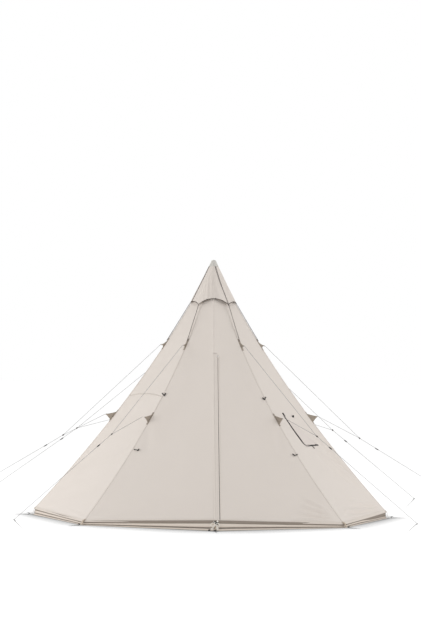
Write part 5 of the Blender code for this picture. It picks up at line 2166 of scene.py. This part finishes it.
@dataclass
class Toggle:
    """A door tie: a cord loop sewn by the ridge, with a bent toggle on its end.

    Args:
        azimuth: of the ridge.
        z: height of the toggle's bend above the ground.
        away: its distance from the ridge, positive to the right seen from outside.
        left: reach of its left arm, aside and up.
        right: reach of its right arm, aside and up.
    """

    azimuth: int
    z: float
    away: float
    left: Pair
    right: Pair

    def build(self) -> None:
        """Make the cord loop and the toggle."""
        name = f"{RIDGES[self.azimuth]}_{round(self.z * 100)}"
        spot = beside(self.azimuth, self.z + 0.012, 0.010 if self.away > 0 else -0.010)
        bend = beside(self.azimuth, self.z, self.away)
        out = (beside(self.azimuth, self.z, self.away, 0.01) - bend).normalized()
        level = UP.cross(out).normalized()
        run = bend - spot
        down = out.cross(run).normalized()
        loop = []
        for t in steps(16):
            reach = 1 - abs(2 * t - 1) ** 1.6
            place = spot + run * reach + down * 0.006 * math.sin(math.tau * t)
            loop.append(place + out * (0.0036 + 0.006 * math.sin(math.pi * t)))
        cord = Bench.as_mesh(Bench.tube(f"tie_cord_{name}", loop, 0.0024, resolution=2))
        dress(cord, CREAM_CORD)
        for side, (aside, up) in (("left", self.left), ("right", self.right)):
            arm = level * aside + out.cross(level) * up
            middle = bend + arm / 2 + out * 0.0095
            place = Bench.turn(arm, out, middle)
            bar = Pattern.copy("toggle", f"tie_toggle_{name}_{side}", place, self.bar)
            for vertex in bar.data.vertices:
                reach = (vertex.co - middle).dot(arm.normalized())
                vertex.co += arm.normalized() * reach * (arm.length / 0.04 - 1)
            dress(bar, BLACK_PLASTIC)

    @staticmethod
    def bar() -> Piece:
        """A rounded bar with a waist for its cord."""
        bar = Bench.block("toggle", (0.046, 0.014, 0.014), 0.006)
        Bench.faces_where(bar, lambda face: abs(face.calc_center_median().x) < 0.012)
        bpy.ops.transform.resize(value=(1, 0.8, 0.8))
        bpy.ops.object.mode_set(mode="OBJECT")
        return bar


TOGGLES = (
    Toggle(-45, 1.432, 0.031, (-0.038, 0.034), (0.010, 0.036)),
    Toggle(-45, 0.818, 0.086, (-0.052, 0.010), (0.010, 0.020)),
    Toggle(45, 1.400, -0.028, (-0.018, 0.028), (0.032, 0.035)),
    Toggle(45, 0.777, -0.045, (-0.024, 0.021), (0.040, 0.015)),
)


class FrontLoop:
    """The cream webbing, cord bow and small buckle that hold the door's foot together."""

    out = Vector((0, -1, 0))
    side = Vector((1, 0, 0))
    straps = {
        "left": ((0.026, 0.112, -0.010), (0.010, 0.092, 0.0), (-0.012, 0.066, 0.006),
                 (-0.030, 0.030, 0.012), (-0.036, 0.010, 0.022)),
        "right": ((-0.020, 0.108, -0.010), (-0.008, 0.090, 0.003), (0.012, 0.064, 0.009),
                  (0.022, 0.034, 0.014), (0.026, 0.008, 0.024)),
    }
    cords = {
        "bow_left": ((0.0, 0.070, 0.012), (-0.022, 0.088, 0.016), (-0.048, 0.080, 0.018),
                     (-0.052, 0.060, 0.018), (-0.030, 0.056, 0.018), (-0.004, 0.066, 0.014)),
        "bow_right": ((0.0, 0.070, 0.012), (0.020, 0.086, 0.016), (0.040, 0.074, 0.018),
                      (0.042, 0.056, 0.018), (0.022, 0.052, 0.018), (0.004, 0.066, 0.014)),
        "tail_left": ((-0.002, 0.068, 0.014), (-0.020, 0.046, 0.020), (-0.044, 0.030, 0.022),
                      (-0.066, 0.014, 0.026)),
        "tail_right": ((0.002, 0.068, 0.014), (0.008, 0.042, 0.022), (0.004, 0.018, 0.028),
                       (-0.008, 0.006, 0.040)),
    }
    stops = {"left": (-0.070, 0.012, 0.028), "right": (-0.010, 0.007, 0.046)}

    @classmethod
    def at(cls, x: float, z: float, away: float = 0.0) -> Vector:
        """A place in front of the door's foot."""
        return cls.out * (FORM.corner_r + 0.012 + away) + cls.side * x + UP * z

    @classmethod
    def strap(cls, name: str, path: Sequence[Triple], width: float = 0.018) -> None:
        """A flat strap along a path of places aside, up and out."""
        points = [cls.at(*place) for place in path]
        rows = []
        for k, p in enumerate(points):
            run = (points[min(k + 1, len(points) - 1)] - points[max(k - 1, 0)]).normalized()
            across = cls.out.cross(run).normalized() * -width / 2
            rows.append([p + across * w for w in (-1, -0.4, 0.4, 1)])
        dress(Bench.grid(name, rows, 0.0018, centred=True), CREAM_WEBBING)

    @classmethod
    def build(cls) -> None:
        """Make the straps, the bow with its tails, the buckle and the stops."""
        for name, path in cls.straps.items():
            cls.strap(f"door_strap_{name}", path)
        for name, path in cls.cords.items():
            cord = Bench.tube(f"door_{name}", [cls.at(*p) for p in path], 0.0042, smooth=True)
            dress(Bench.as_mesh(cord), CREAM_CORD)
        buckle = Bench.block("door_buckle", (0.028, 0.052, 0.009), 0.0026)
        for y in (-0.0125, 0.0125):
            slot = Bench.solid(MESH.primitive_cube_add, "slot", size=1, location=(0, y, 0))
            slot.scale = (0.015, 0.013, 0.03)
            Bench.subtract(buckle, slot)
        lean = (UP + cls.side * 0.4).normalized()
        Bench.placed(buckle, Bench.turn(lean, cls.out, cls.at(0.002, 0.090, 0.012)))
        dress(buckle, BLACK_PLASTIC)
        for name, place in cls.stops.items():
            turned = Bench.turn(cls.side + UP * 0.2, cls.out, cls.at(*place))
            fitting(f"door_stop_{name}", (0.028, 0.014, 0.014), 0.0055, turned, BLACK_PLASTIC)


def left_seam() -> None:
    """The arched seam across the left face."""
    path = ((0.01, 1.414), (0.205, 1.441), (0.46, 1.453), (0.727, 1.447), (0.985, 1.426))
    lines = ((0.005, 0.0003), (0, 0.0016), (-0.005, 0.0003))
    rows = [
        [PANELS[-90].at(u, z + lift, height) for lift, height in lines]
        for u, z in Ridge.smooth(path, 10)
    ]
    dress(Bench.grid("left_arch_seam", rows, 0.0007, centred=True), FELLED_SEAM)


def main() -> None:
    """Build the studio and the tent."""
    logging.basicConfig(level=logging.INFO, format="%(message)s")
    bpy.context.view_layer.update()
    Studio().build()
    for rope in GUY_ROPES:
        rope.build()
    Canopy().build()
    for azimuth in RIDGES:
        Ridge(azimuth).build()
    CAP.build()
    Door().build()
    Groundsheet().build()
    Pole().build()
    for toggle in TOGGLES:
        toggle.build()
    FrontLoop.build()
    left_seam()
    Pattern.clear()
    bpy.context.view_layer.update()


if __name__ == "__main__":
    main()
